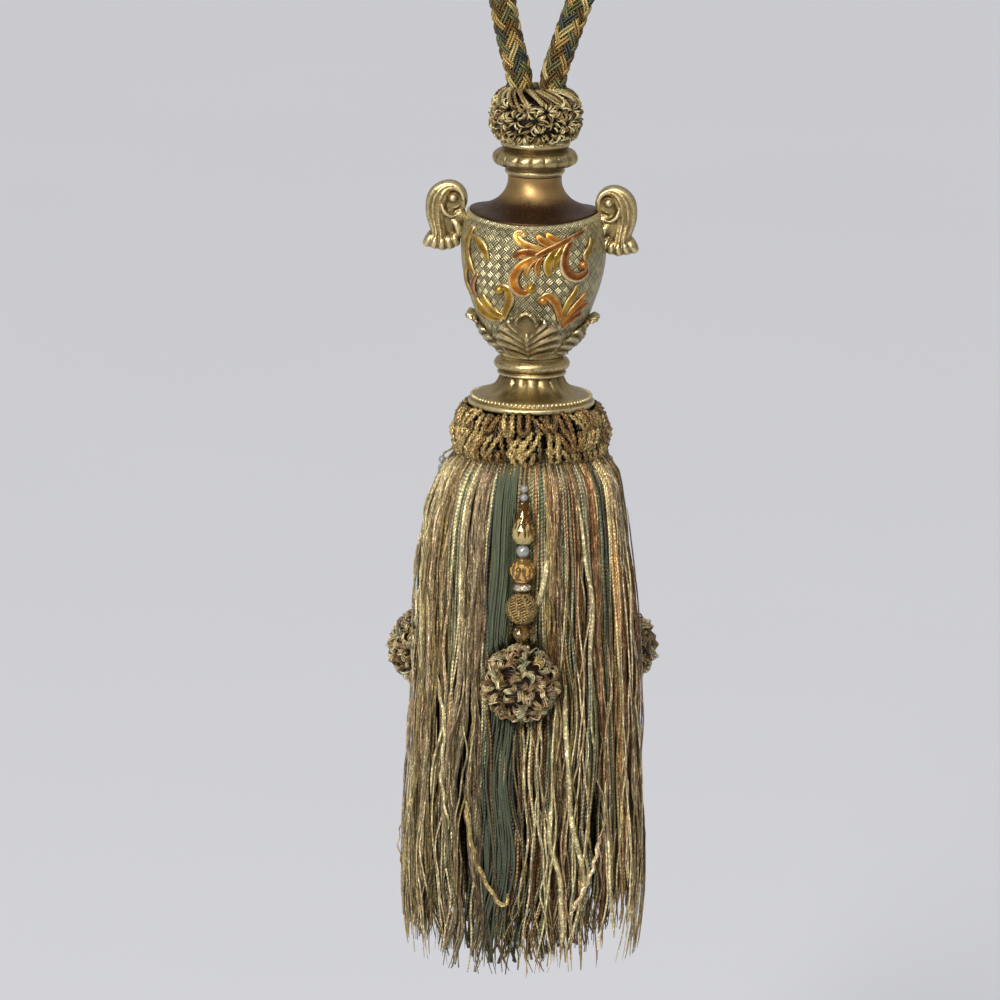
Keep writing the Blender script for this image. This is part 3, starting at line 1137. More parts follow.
class TASSEL_OT_bowl(bpy.types.Operator):
    """Bowl with its basketwork ground, lacquered scrolls and cup of acanthus leaves"""
    bl_idname = "tassel.bowl"
    bl_label = "Bowl"

    strips: IntProperty(name="Strips", description="Crossings of the basketwork round the bowl",
                        default=46)

    def execute(self, context):
        metal = settings("metal")
        self.ground(metal)
        self.scrolls(metal)
        cup = join([self.leaf(f"leaf_{i}", (i - 1) * TAU / 4, (19.0, 15.6)[i % 2])
                    for i in range(4)], "leaf_cup")
        mark_hollows(cup, 1.6, 0.8)
        leaf_tones = (toned(tone, 0.74) for tone in (metal.gilt, metal.bright, metal.hollow))
        cup.data.materials.append(gilding("leaf gilding", *leaf_tones, 0.38))
        dress(cup, "gilt")
        return {"FINISHED"}

    def ground(self, metal):
        """The bowl itself, with the map by which the basketwork runs evenly round it."""
        ground = turned("bowl_ground", BOWL, 192, 3)
        mesh = ground.data
        corner = corner_positions(ground) / MM
        vertex = np.empty(len(mesh.loops), np.int32)
        mesh.loops.foreach_get("vertex_index", vertex)
        owner = np.repeat(np.arange(len(mesh.polygons)),
                          [len(p.vertices) for p in mesh.polygons])
        angle = np.arctan2(corner[:, 1], corner[:, 0])[vertex]
        x = np.bincount(owner, np.cos(angle))
        y = np.bincount(owner, np.sin(angle))
        middle = np.arctan2(y, x)[owner]
        angle = middle + (angle - middle + math.pi) % TAU - math.pi
        down = depth_of(corner)[vertex] - WEAVE_TOP
        uv = np.stack([BOWL_GIRTH * angle / TAU, down], axis=1) / CM
        layer = mesh.uv_layers.new(name="Round")
        layer.data.foreach_set("uv", uv.astype(np.float32).ravel())
        sink_rim(ground)
        mark_hollows(ground, 1.5, 0.8)
        smooth_by_angle(ground, 60)
        mesh.materials.append(weave_ground("basketwork", tuple(metal.ground),
                                           toned(metal.ground, 1.5), tuple(metal.hollow),
                                           CM * self.strips / BOWL_GIRTH))
        dress(ground, "bowl_gilt", "bowl")

    def scrolls(self, metal):
        """Lacquered strokes and buttons that stand on the front and back of the bowl."""
        batch = Batch(41)
        pale = tones(metal, "bright")[0]
        share, lift = np.linspace(0, 1, 18), np.linspace(0, 1, 8)
        swell = np.sin(np.pi * np.clip(0.10 + 0.86 * share ** 1.4, 0, 1)) ** 0.7
        for facing in (FACING, FACING + math.pi):
            for tint, width, height, points in SCROLLS:
                line = spread(points, 18)
                place = on_bowl(line[:, 0], line[:, 1], 0.0, facing)
                grown = width * (0.22 + 0.78 * swell)
                body = 0.86 * tones(metal, tint)[0]
                batch.add(place[None], 1.15 * grown[None], body,
                          (height * (0.35 + 0.65 * swell))[None], 20, out_of(place)[None],
                          groove=0.4, edge=(0.45 * body + 0.55 * pale, 0.25 * body))
            for tint, width, (x, depth) in BUTTONS:
                place = on_bowl(np.array([x] * 8), np.array([depth] * 8),
                                np.linspace(-0.6, 1.9, 8), facing)
                reach = width * np.sqrt(np.clip(1 - lift ** 2.2, 0.02, 1))
                batch.add(place[None], reach[None], tones(metal, tint)[0], sides=16)
        scrolls = batch.piece("bowl_scrolls", lacquer("lacquer", tuple(metal.bright),
                                                      toned(metal.hollow, 0.8)))
        mark_hollows(scrolls, 0.7, 1.1)
        dress(scrolls, "bowl_gilt")

    def leaf(self, name, facing, height):
        """One acanthus leaf, bent round the bowl's foot, with ribs that fan from its midrib."""
        clear_selection()
        bpy.ops.mesh.primitive_grid_add(x_subdivisions=60, y_subdivisions=38, size=2.0)
        piece = bpy.context.object
        piece.name = piece.data.name = name
        spots = corner_positions(piece)
        a, h = spots[:, 0], (spots[:, 1] + 1) / 2          # across -1..1, up 0..1
        side = np.abs(a)
        start = (h - 0.12 * side) / (1.0 + 1.5 * side)
        fan = start * 10.0
        ridge = np.abs(np.cos(np.pi * fan)) ** 1.3
        middle = 1.0 - blend(0.16, 0.34, side)              # the plain, hollow middle of the tip
        upper = blend(0.45, 0.62, h)
        plain = middle * upper
        half = np.interp(h, [0, 0.12, 0.3, 0.55, 0.75, 0.9, 1.0],
                         [5.6, 8.6, 11.0, 12.0, 11.4, 9.2, 6.4])
        across = a * half + np.sign(a) * 1.3 * side ** 4 * (ridge - 0.4)
        crown = 1.0 - 0.24 * side ** 2.4 + 0.05 * np.cos(2.2 * np.pi * a) * h ** 4
        depth = LEAF_FOOT - height * h * crown
        radius = np.maximum(bowl_radius(depth), 11.4)
        angle = facing + across / radius
        edge = 1.0 - blend(0.86, 1.0, side)
        midrib = np.exp(-(a / 0.05) ** 2) * (1 - upper)
        relief = 1.4 * (ridge ** 0.6 - 0.55) * (1 - plain) * (0.35 + 0.65 * blend(0, 0.25, side))
        lift = 0.3 + 0.7 * edge + relief * (0.4 + 0.6 * edge) + 0.8 * midrib
        lift = lift + 0.7 * np.sin(np.pi * h) * (h > 0.2) - 0.9 * plain
        curl = blend(0.80, 1.0, h) * (1.0 - blend(0.25, 0.8, side))
        lift = lift + 2.1 * curl ** 1.3
        depth = depth + 1.3 * blend(0.93, 1.0, h) * (1.0 - 0.6 * side)
        move_corners(piece, ring_point(angle, radius + lift, depth))
        normal = piece.data.polygons[len(piece.data.polygons) // 2].normal
        if normal.dot(Vector((math.cos(facing), math.sin(facing), 0))) < 0:
            piece.data.flip_normals()
        modify(piece, "SOLIDIFY", thickness=0.0009, offset=-1.0)
        smooth_by_angle(piece, 70)
        return piece


# The right ear, to the right and down. Its fluted band runs from under the eye over the head and
# down to the foot, between an outer and an inner edge.
EAR_OUTER = [(24.6, 46.6), (23.6, 44.0), (23.5, 41.0), (24.8, 38.0), (27.4, 35.9), (30.6, 35.2),
             (34.2, 36.2), (36.7, 38.6), (37.8, 42.0), (38.0, 46.0), (37.3, 49.6), (36.7, 52.8),
             (37.3, 56.0), (39.2, 59.0)]
EAR_INNER = [(26.8, 45.0), (26.0, 43.4), (25.8, 41.4), (26.6, 39.7), (27.8, 38.9), (29.2, 38.9),
             (30.4, 39.7), (31.1, 41.0), (31.5, 42.8), (31.7, 45.6), (31.5, 49.4), (31.1, 52.8),
             (30.2, 56.0), (28.4, 59.0)]
EAR_PARTS = [               # half width, half thickness and points of the lip, lobes and root
    (1.3, 4.0, [(31.8, 40.6), (32.5, 43.6), (31.4, 46.8), (28.8, 48.4), (26.4, 47.6)]),
    (2.0, 3.3, [(30.4, 49.8), (27.8, 50.6), (26.4, 53.2), (26.8, 56.6)]),
    (3.2, 2.6, [(26.0, 46.0), (26.6, 48.6), (27.6, 51.2)]),
    (2.0, 3.7, [(36.0, 54.6), (37.2, 57.6), (38.9, 59.8)]),
    (2.3, 4.2, [(34.4, 55.0), (35.0, 58.2), (35.8, 60.6)]),
    (2.3, 4.2, [(32.4, 55.2), (32.3, 58.6), (32.4, 61.2)]),
    (2.2, 3.9, [(30.4, 55.2), (29.7, 58.4), (29.0, 60.6)]),
    (1.7, 3.4, [(28.6, 54.4), (27.6, 57.2), (27.0, 59.6)]),
    (3.6, 2.6, [(29.2, 42.6), (30.0, 47.0), (30.4, 51.0), (30.2, 57.0)])]


class TASSEL_OT_ears(bpy.types.Operator):
    """Scrolled ears with flutes that sweep over the head and down to a flared foot"""
    bl_idname = "tassel.ears"
    bl_label = "Ears"

    shift: FloatProperty(name="Shift", description="How far both ears sit to the left",
                         default=0.0011, unit="LENGTH")

    def execute(self, context):
        level = np.array([0.0, -1.0, 0.0])
        gold = tones(settings("metal"), "gilt")[0]
        for side, name in ((1, "ear_right"), (-1, "ear_left")):
            batch = Batch(51)

            def place(line, across=0.0):
                x = side * line[:, 0] - self.shift / MM
                return np.stack([x, 0 * x + across, -(LOOP_DROP + line[:, 1])], axis=1)[None]

            outer, inner = spread(EAR_OUTER, 90), spread(EAR_INNER, 90)
            share = np.linspace(0, 1, 90)
            half = np.linalg.norm(outer - inner, axis=1) / 2
            swell = np.interp(share, [0, 0.12, 0.45, 0.72, 0.95, 1.0],
                              [1.6, 3.4, 4.0, 3.1, 3.9, 2.8])
            batch.add(place((outer + inner) / 2), half[None], gold, swell[None], 96, level,
                      flutes=4)
            for width, deep, points in EAR_PARTS:
                line = spread(points, 22)
                swell = np.sin(np.pi * np.linspace(0.13, 0.87, 22)) ** 0.6
                batch.add(place(line), width * swell[None], gold, deep * swell[None], 16, level)
            lift = np.linspace(0, 1, 9)
            for face in (-1, 1):
                points = place(np.repeat([EAR_EYE], 9, axis=0), face * (1.4 + 2.5 * lift))
                reach = 1.8 * np.sqrt(np.clip(1 - lift ** 2.4, 0.02, 1))
                batch.add(points, reach[None], gold, sides=18)
            hollow = place(np.repeat([[28.6, 42.0]], 5, axis=0), np.linspace(-2.4, 2.4, 5))
            batch.add(hollow, 3.6, gold, sides=18)
            ear = batch.piece(name + "_gilt", gilt())
            modify(ear, "REMESH", mode="VOXEL", voxel_size=0.00033)
            modify(ear, "SMOOTH", factor=0.5, iterations=2)
            mark_hollows(shade(ear), 1.1, 0.9)
            dress(ear, "gilt", name)
        return {"FINISHED"}


class TASSEL_OT_foot(bpy.types.Operator):
    """Socle with torus, fluted flare and a beaded rim"""
    bl_idname = "tassel.foot"
    bl_label = "Foot"

    beads: IntProperty(name="Beads", description="Beads round the foot's rim", default=82)

    def execute(self, context):
        piece = turned("foot_gilt", FOOT, 160, 3)

        def flutes(angle, radius, depth):
            span = blend(106.0, 107.2, depth) * (1.0 - blend(112.0, 113.0, depth))
            hollow = np.abs(np.sin(8 * (angle - FACING) + math.pi / 2)) ** 0.5
            return 1.2 * span * (hollow - 0.8), 0.0 * angle

        shape(piece, flutes)
        size, *row_place = FOOT_BEADS
        clear_selection()
        bpy.ops.mesh.primitive_uv_sphere_add(segments=8, ring_count=6, radius=size * MM)
        pattern = shade(bpy.context.object)
        row = []
        for i in range(self.beads):
            angle = TAU * (i + 0.5) / self.beads
            spot = Vector(ring_point(angle, *row_place) * MM)
            row.append(moved_copy(pattern, "rim_bead", Matrix.Translation(spot)))
        bpy.data.objects.remove(pattern)
        smooth_by_angle(piece, 50)
        piece = join([piece] + row, "foot_gilt")
        mark_hollows(piece, 1.2, 1.3)
        piece.data.materials.append(gilt())
        dress(piece, "gilt", "foot")
        return {"FINISHED"}


# ---------------------------------------------------------------- skirt

def string_point(side, depth):
    """A place on a bead string's line."""
    share = (np.asarray(depth, float) - STRING_TOP[1]) / (STRING_FOOT[1] - STRING_TOP[1])
    radius = STRING_TOP[0] + share * (STRING_FOOT[0] - STRING_TOP[0])
    return ring_point(math.radians(HANGERS[side]), radius, depth)


def hem_at(hem, turn):
    """Depth of the hem, which rises to the sides and most to the right."""
    right = np.sin(turn)
    return hem - 13.0 * right ** 2 - 6.0 * right


def skin_radius(depth):
    """Radius of the skirt's outside at this depth."""
    skin = np.array(SKIRT_SKIN)
    return np.interp(depth, skin[:, 0], skin[:, 1])


def make_room(lines, own):
    """Press yarns inwards where a pompom or a bead string lies in front of them."""
    lines = lines.copy()
    depth = depth_of(lines)
    for side, degrees in HANGERS.items():
        out = np.array([math.cos(math.radians(degrees)), math.sin(math.radians(degrees))])
        middle = string_point(side, np.clip(depth, 120.0, STRING_FOOT[1]))[..., :2]
        fall = (depth - STRING_FOOT[1]) / (POMPOM_RADIUS + 0.6)
        ball = (POMPOM_RADIUS + 0.4) * np.sqrt(np.clip(1 - fall ** 2, 0, 1))
        (thread, *thread_span), (bead, *bead_span) = STRING_ROOM
        beads = bead * blend(*bead_span, depth) * (depth < STRING_FOOT[1])
        beads = beads + thread * blend(*thread_span, depth) * (depth < THREAD_END)
        clear = np.maximum(ball, beads) + own
        offset = lines[..., :2] - middle
        ahead = offset @ out
        beside = offset @ np.array([-out[1], out[0]])
        inside = np.sqrt(np.clip(clear ** 2 - beside ** 2, 0, None))
        near = (np.abs(beside) < clear) & (np.maximum(ball, beads) > 0) & (ahead > -25)
        push = np.where(near, np.minimum(0.0, -inside - ahead), 0.0)
        lines[..., :2] += push[..., None] * out
    return lines


# Groups of like yarns round the skirt: where each ends, in degrees to the right of the camera's
# side, the kind of yarn, and its colours.
BUNDLES = [
    (-64, "satin", ("straw", "peach", "gold")), (-51, "satin", ("peach", "gold", "rose")),
    (-43, "gimp", ("silver", "straw", "olive")), (-38, "gimp", ("straw", "silver")),
    (-34, "satin", ("straw", "peach")), (-29, "satin", ("rose", "peach")),
    (-25, "satin", ("peach", "rose")), (-22, "gimp", ("slate", "silver", "straw")),
    (-8, "crepe", ("sage",)), (-4, "gimp", ("brown", "gold", "slate")),
    (1, "gimp", ("gold", "straw", "olive")), (5, "gimp", ("sage", "gold", "copper")),
    (9, "gimp", ("silver", "sage")), (14, "satin", ("copper", "gold")),
    (20, "satin", ("rose", "copper", "straw")), (27, "gimp", ("gold", "silver", "copper")),
    (32, "satin", ("copper", "straw")), (39, "gimp", ("olive", "silver", "sage")),
    (46, "satin", ("copper", "rose", "peach")), (51, "gimp", ("slate", "brown", "sage")),
    (62, "gimp", ("copper", "gold", "straw")), (80, "satin", ("copper", "peach", "rose")),
    (96, "satin", ("bronze", "gold")), (108, "gimp", ("olive", "gold", "silver")),
    (122, "satin", ("rose", "copper")), (134, "crepe", ("sage",)),
    (146, "satin", ("straw", "gold", "peach")), (158, "gimp", ("gold", "slate", "straw")),
    (172, "satin", ("copper", "bronze")), (186, "gimp", ("silver", "sage", "gold")),
    (200, "satin", ("peach", "straw")), (214, "satin", ("copper", "rose", "gold")),
    (226, "crepe", ("sage",)), (240, "gimp", ("gold", "brown", "straw")),
    (254, "satin", ("rose", "gold")), (270, "gimp", ("straw", "olive", "silver")),
]
STRING_ROOM = (             # room for a string: half width, and depths where it begins in full
    (2.0, 138.0, 144.0), (5.6, 146.0, 156.0))
THREAD_END = 150.0          # below this depth the beads need the room, not the thread
LOCKS = 97                  # locks that yarns can belong to
LOCK_WIDTH = 5.5            # in degrees
FLYAWAYS = 190
FRAYED_ENDS = 420
YARN_START = 131.0          # depth at which the yarns come out from under the ruff
SKIRT_RADIUS = 41.0         # the radius at which their swings to the side are measured
YARN_KINDS = {              # half width, half thickness, sides, and share of the yarns' spacing
    "satin": (0.50, 0.34, 4, 1.25), "gimp": (0.55, 0.46, 5, 0.86), "crepe": (0.42, 0.36, 5, 0.56)}
STRAYS = [                  # kind, colour, half width, and points to the right, down and outwards
    ("satin", "gold", 1.0, [(-22.0, 258, 0.8), (-20.6, 268, 1.8), (-18.0, 279, 2.6),
                            (-13.4, 288, 3.4), (-9.4, 294, 3.6), (-6.6, 295, 3.0),
                            (-6.0, 291, 2.0)]),
    ("satin", "peach", 0.8, [(-41.0, 262, 0.5), (-44.4, 272, 1.0), (-46.6, 283, 1.0),
                             (-45.6, 291, 1.0), (-42.6, 296, 0.6)]),
    ("gimp", "straw", 0.35, [(-36.8, 158, 1.0), (-38.6, 172, 1.2), (-40.6, 188, 1.4),
                             (-42.4, 207, 1.4), (-42.0, 222, 0.8)]),
    ("satin", "peach", 0.9, [(27.6, 272, 0.8), (24.8, 284, 1.8), (20.6, 293, 2.6),
                             (17.2, 299, 2.8)]),
    ("satin", "straw", 0.9, [(-33.0, 214, 0.7), (-30.2, 232, 1.5), (-30.8, 252, 1.7),
                             (-27.8, 270, 1.3)])]
UNDER_LAYERS = [            # count, how far in from the skin, shade and half width
    (180, (1.8, 3.4), 0.85, 0.8), (130, (3.4, 5.4), 0.62, 1.05)]
INNER_RINGS = [             # how far in, and count
    (8.5, 56), (14.0, 44), (20.0, 32), (26.5, 22), (33.0, 12)]


class TASSEL_OT_skirt(bpy.types.Operator):
    """Skirt of satin, twisted and crepe yarns, in like-coloured groups that mingle at the hem"""
    bl_idname = "tassel.skirt"
    bl_label = "Skirt"

    def execute(self, context):
        group = settings("yarn")
        random = np.random.default_rng(61)
        hem = group.hem / MM
        batches = {kind: Batch(62 + i) for i, kind in enumerate(YARN_KINDS)}
        self.outer_yarns(random, group, hem, batches)
        self.strays(group, batches)
        self.flyaways(random, group, batches["satin"])
        under = Batch(71)
        self.under_yarns(random, group, hem, under)
        under.add(*self.hairs(random, group, hem), sides=3, taper=0.3)
        finishes = {
            "satin": yarn("satin yarn", depth=0.5, fleck=0.5, glint=2.2, grain=8.0,
                          rough=0.26, metallic=0.5, knobs=0.8),
            "gimp": yarn("twisted yarn", lay=1.5, depth=0.6, fleck=0.4, glint=1.8, grain=18.0,
                         rough=0.34, metallic=0.45),
            "crepe": yarn("crepe yarn", lay=0.9, depth=0.35, fleck=0.18, glint=0.35,
                          grain=22.0, rough=0.7, sheen=0.12, knobs=0.8)}
        for kind, batch in batches.items():
            dress(batch.piece("skirt_" + kind, finishes[kind]), "skirt_yarn")
        dress(under.piece("skirt_inside", finishes["gimp"]), "skirt_yarn", "skirt")
        return {"FINISHED"}

    def outer_yarns(self, random, group, hem, batches):
        """The groups of like yarns that are seen from outside."""
        everyday = tones(group, "gold", "straw", "silver", "bronze", "rose", "straw", "peach")
        start = -90.0
        for end, kind, names in BUNDLES:
            width, thickness, sides, share = YARN_KINDS[kind]
            count = max(2, round((end - start) / (360.0 / group.count * share)))
            palette = tones(group, *names)
            place = start + (np.arange(count) + random.uniform(0.1, 0.9, count)) \
                * (end - start) / count
            drop = random.uniform(-0.3, 2.0, count)
            length = hem + np.minimum(random.normal(-1.0, 4.0, count), 4.0) \
                - 22.0 * random.random(count) ** 6
            lines = self.fall(random, place, (start + end) / 2, drop, length, 37, kind)
            lines = make_room(lines, thickness)
            first = pick(random, palette, count)
            second = pick(random, everyday, count)
            if kind == "crepe":
                second = 0.9 * first
            if kind == "satin":
                lines, first, second = self.filaments(random, lines, first, second)
            tint = self.dyed(random, lines, first, second, 0.25 if kind == "crepe" else 1.0)
            grown = random.uniform(0.7, 1.2, (len(lines), 1))
            batches[kind].add(lines, width * grown, tint, thickness * grown, sides,
                              out_of(lines), taper=0.4)
            start = end

    def strays(self, group, batches):
        """Single yarns that wander across the groups, each at its own place."""
        along = np.arange(40)
        for kind, name, width, points in STRAYS:
            line = spread(points, len(along))
            wave = 0.35 * np.sin(along * 0.9)
            place = self.in_front(line[:, 0] + wave, line[:, 1], line[:, 2])
            grown = width * np.interp(along, [0, 3, 34, 39], [0.3, 1.0, 0.9, 0.4])
            batches[kind].add(place[None], grown[None], tones(group, name)[0] * 1.15,
                              (grown * (0.35 if kind == "satin" else 0.9))[None],
                              YARN_KINDS[kind][2], out_of(place)[None])

    def under_yarns(self, random, group, hem, under):
        """Darker yarns close under the outer ones, and rings of coarse ones to the middle."""
        palette = tones(group, "bronze", "gold", "olive", "copper", "slate", "sage")
        for count, inward, shade, width in UNDER_LAYERS:
            place = placed_round(random, count, 1, full=360.0)
            lines = self.fall(random, place, None, random.uniform(*inward, count),
                              hem + np.minimum(random.normal(-4.0, 4.0, count), -0.5), 22,
                              "gimp")
            lines = make_room(lines, 1.2)
            tint = self.dyed(random, lines, pick(random, palette, count),
                             pick(random, palette, count)) * shade
            under.add(lines, width, tint, 0.6, 4, out_of(lines), taper=0.5)
        for ring, (inward, count) in enumerate(INNER_RINGS):
            place = placed_round(random, count, 2, full=360.0)
            lines = self.fall(random, place, None, np.full(count, inward),
                              hem + random.normal(-14.0, 3.5, count), 13, "gimp")
            lines = make_room(lines, 3.2 + 1.5 * ring)
            tint = pick(random, palette, count) * 0.35
            under.add(lines, 2.1, tint[:, None], 1.7, 4, unit(lines * [1, 1, 0] + 1e-6),
                      taper=0.4)

    def filaments(self, random, lines, first, second):
        """Each satin yarn as three flat filaments that cross and part along it."""
        count = len(lines)
        lines = np.tile(lines, (3, 1, 1))
        depth = depth_of(lines)
        phase = random.uniform(0, TAU, (4, 3 * count, 1))
        out = out_of(lines)
        across = np.stack([-out[..., 1], out[..., 0], 0 * depth], axis=-1)
        loose = blend(136.0, 160.0, depth)
        apart = loose * (0.25 + 0.75 * phase[3] / TAU)
        aside = np.repeat([-0.72, 0.0, 0.72], count)[:, None] + apart * (
            0.80 * np.sin(depth / 8.0 + phase[0]) + 0.40 * np.sin(depth / 3.2 + phase[1]))
        lift = loose * (0.30 * np.sin(depth / 5.0 + phase[2])
                        + 0.2 * np.sin(depth / 11.0 + phase[3]))
        lines = lines + across * aside[..., None] + out * lift[..., None]
        return lines, np.tile(first, (3, 1)), np.tile(second, (3, 1))

    def flyaways(self, random, group, batch):
        """Loose filaments that wander over the skirt in long waves."""
        count, steps = FLYAWAYS, 26
        t = np.linspace(0, 1, steps)
        first = 140.0 + 134.0 * random.random((count, 1)) ** 0.6
        depth = first + np.minimum(random.uniform(40.0, 110.0, (count, 1)), 322.0 - first) * t
        phase = random.uniform(0, TAU, (3, count, 1))
        bow = random.uniform(0.4, 2.0, (count, 1)) * blend(140.0, 230.0, depth)
        radius = skin_radius(depth) - 0.5 + bow * np.sin(np.pi * t) ** 0.7
        wave = random.normal(0.0, 4.0, (count, 1)) * t + 1.3 * np.sin(depth / 10.0 + phase[0]) \
            + 0.5 * np.sin(depth / 4.4 + phase[1])
        angle = random.uniform(0, TAU, (count, 1)) + wave / SKIRT_RADIUS
        angle = angle[np.abs((np.degrees(angle[:, 0] - FACING) + 195.0) % 360.0 - 180.0) > 9.0]
        count = len(angle)
        lines = make_room(ring_point(angle, radius[:count], depth[:count]), 0.6)
        palette = tones(group, "straw", "peach", "gold", "straw", "rose")
        tint = pick(random, palette, count) * random.uniform(0.7, 1.5, (count, 1))
        width = 0.34 + 0.8 * random.random((count, 1)) ** 6
        batch.add(lines, width, tint[:, None], 0.3, 4, out_of(lines), taper=0.3)

    def dyed(self, random, lines, first, second, uneven=1.0):
        """Colours that pass from one dye to another along each yarn and darken to the hem."""
        depth = depth_of(lines)
        phase = random.uniform(0, TAU, (2, len(lines), 1))
        share = blend(-0.3, 1.0, np.sin(depth / 16.0 + phase[0]) * np.sin(depth / 41.0 + phase[1]))
        share = 0.75 * share[..., None]
        tint = first[:, None] * (1 - share) + second[:, None] * share
        turn = np.degrees(np.arctan2(lines[:, 0, 1], lines[:, 0, 0]))
        lock = np.random.default_rng(8).uniform(0.6, 1.4, 90)[np.floor(turn / 4).astype(int)]
        bright = random.uniform(0.6, 1.5, (len(lines), 1, 1)) * lock[:, None, None]
        bright = 1.0 + uneven * (bright - 1.0)
        shade = 0.94 - 0.34 * blend(150.0, 280.0, depth) + 0.18 * blend(296.0, 316.0, depth)
        return tint * bright * shade[..., None]

    def in_front(self, across, depth, out):
        """Places on the skirt as seen by the camera, also those just past its outline."""
        radius = skin_radius(depth) + out
        toward = np.sqrt(np.clip(radius ** 2 - across ** 2, 0.0, None))
        right = np.array([-math.sin(FACING), math.cos(FACING), 0.0])
        ahead = np.array([math.cos(FACING), math.sin(FACING), 0.0])
        place = across[:, None] * right + toward[:, None] * ahead
        place[:, 2] = -(LOOP_DROP + depth)
        return place

    def hairs(self, random, group, hem):
        """Fine frayed ends that curl out at the hem."""
        count, steps = FRAYED_ENDS, 8
        t = np.linspace(0, 1, steps)
        angle = random.uniform(0, TAU, (count, 1)) + random.normal(0, 0.05, (count, 1)) * t
        top = hem_at(hem, angle[:, :1] - FACING) - random.uniform(12.0, 44.0, (count, 1))
        depth = top + random.uniform(12.0, 22.0, (count, 1)) * t
        bow = random.uniform(-1.0, 3.6, (count, 1))
        radius = 42.0 - random.uniform(0.0, 9.0, (count, 1)) + bow * np.sin(1.9 * t)
        palette = tones(group, "straw", "gold", "rose", "peach", "bronze")
        tint = pick(random, palette, count)
        return ring_point(angle, radius, depth), 0.2, tint[:, None]

    def fall(self, random, place, middle, drop, hem, steps, kind):
        """Lines in which yarns fall from under the ruff, over its edge and down to the hem."""
        count = len(place)
        share = np.linspace(0, 1, steps) ** 1.05
        right = np.sin(np.radians(place))
        foot = hem_at(hem, np.radians(place))
        depth = YARN_START + (foot[:, None] - YARN_START) * share
        radius = skin_radius(depth)
        settle = blend(134.0, 152.0, depth)
        loose = blend(140.0, 210.0, depth)
        bulge = blend(144.0, 158.0, depth) * (1.0 - blend(172.0, 200.0, depth))
        radius = radius - (1.7 * bulge * np.minimum(right, 0.0)[:, None]
                           + 1.5 * settle * np.maximum(right, 0.0)[:, None])

        lock = np.floor(place / LOCK_WIDTH + 0.3 * np.sin(place)).astype(int) % LOCKS
        if kind == "crepe":
            lock = lock * 0
        table = np.random.default_rng(7).uniform(-1, 1, (5, LOCKS))
        swing, sway, stand, pull, beat = (table[i][lock][:, None] for i in range(5))
        centre = np.array([place[lock == one].mean() for one in lock])[:, None]
        turn = centre + (place[:, None] - centre) * (1.0 - (0.30 + 0.16 * pull) * loose)
        ripple = np.sin(depth / (24.0 + 5.0 * beat) + 3.0 * swing)
        turn = turn + np.degrees((2.8 * swing * blend(190, 315, depth)
                                  + 2.0 * sway * ripple * loose
                                  + 1.3 * stand * np.sin(depth / 9.0 + 5.0 * sway) * loose)
                                 / SKIRT_RADIUS)

        phase = random.uniform(0, TAU, (4, count, 1))
        own = 0.55 * np.sin(depth / 13.0 + phase[1]) + 0.26 * np.sin(depth / 5.5 + phase[2])
        own = own + 1.1 * np.sin(depth / 6.5 + phase[3]) * blend(268.0, 312.0, depth)
        own = own * (1.0 + 0.9 * blend(200.0, 285.0, depth))
        own = own * loose * (0.35 if kind == "crepe" else 1.0)
        astray = (random.random((count, 1)) > 0.86) * random.normal(0, 3.4, (count, 1))
        if kind == "crepe":
            astray = 0.0
        own = own + astray * blend(170.0, 300.0, depth)
        turn = turn + np.degrees(own / SKIRT_RADIUS)

        if kind == "crepe":
            turn = middle + (turn - middle) * (1.0 + 0.5 * blend(150.0, 260.0, depth))
            turn = turn - 2.2 * blend(170.0, 300.0, depth)
            radius = radius + 0.7 * blend(150.0, 200.0, depth)
        radius = radius - np.asarray(drop)[:, None] * settle - 0.6
        radius = radius + settle * (0.35 * np.sin(depth / 12.0 + phase[0])
                                    + 1.7 * stand * loose + 0.5 * sway * np.sin(depth / 14.0))
        radius = radius + 0.35 * np.abs(astray) * loose
        fray = random.normal(0.0, 1.0, (count, 1)) * blend(296.0, 326.0, depth)
        radius = radius + 1.1 * fray
        return ring_point(FACING + np.radians(turn), radius, depth)


# ---------------------------------------------------------------- bead strings

AMBER_SIDES = 12            # facets round a glass bead
BEAD_HEIGHTS = {            # from the top of a string to its foot
    "pearl_upper": 2.9, "pearl_lower": 2.9, "amber_drop": 15.1, "pearl_large": 5.0,
    "amber_round": 8.6, "twist_rondelle": 3.1, "wrapped_ball": 11.8, "amber_small": 5.8}
AMBER_FORMS = {             # radius and height above the bead's middle, from its foot up
    "amber_drop": [(0.0, -7.5), (1.3, -7.5), (1.9, -5.0), (3.0, -1.0), (3.9, 2.0), (4.2, 4.0),
                   (3.9, 5.8), (2.6, 7.5), (0.0, 7.5)],
    "amber_round": [(0.0, -4.3), (2.4, -4.3), (4.0, -2.6), (4.8, -0.8), (4.8, 0.8), (4.0, 2.6),
                    (2.4, 4.3), (0.0, 4.3)],
    "amber_small": [(0.0, -2.9), (1.6, -2.9), (2.9, -1.6), (3.3, 0.0), (2.9, 1.6), (1.6, 2.9),
                    (0.0, 2.9)]}
RONDELLE_FORM = [(0.9, -1.2), (1.9, -1.5), (3.0, -1.1), (3.6, 0.0), (3.0, 1.1), (1.9, 1.5),
                 (0.9, 1.2), (0.9, -1.2)]


def bead_ends(name):
    """Upper and lower end of a bead on a string that hangs over the X axis, and its direction."""
    top, foot = (np.array([r, 0.0, -(LOOP_DROP + d)]) for r, d in (STRING_TOP, STRING_FOOT))
    line = (foot - top) / np.linalg.norm(foot - top)
    run = 0.0
    for other, height in BEAD_HEIGHTS.items():
        if other == name:
            return top + line * run, top + line * (run + height), line
        run += height + BEAD_GAP
    raise KeyError(name)


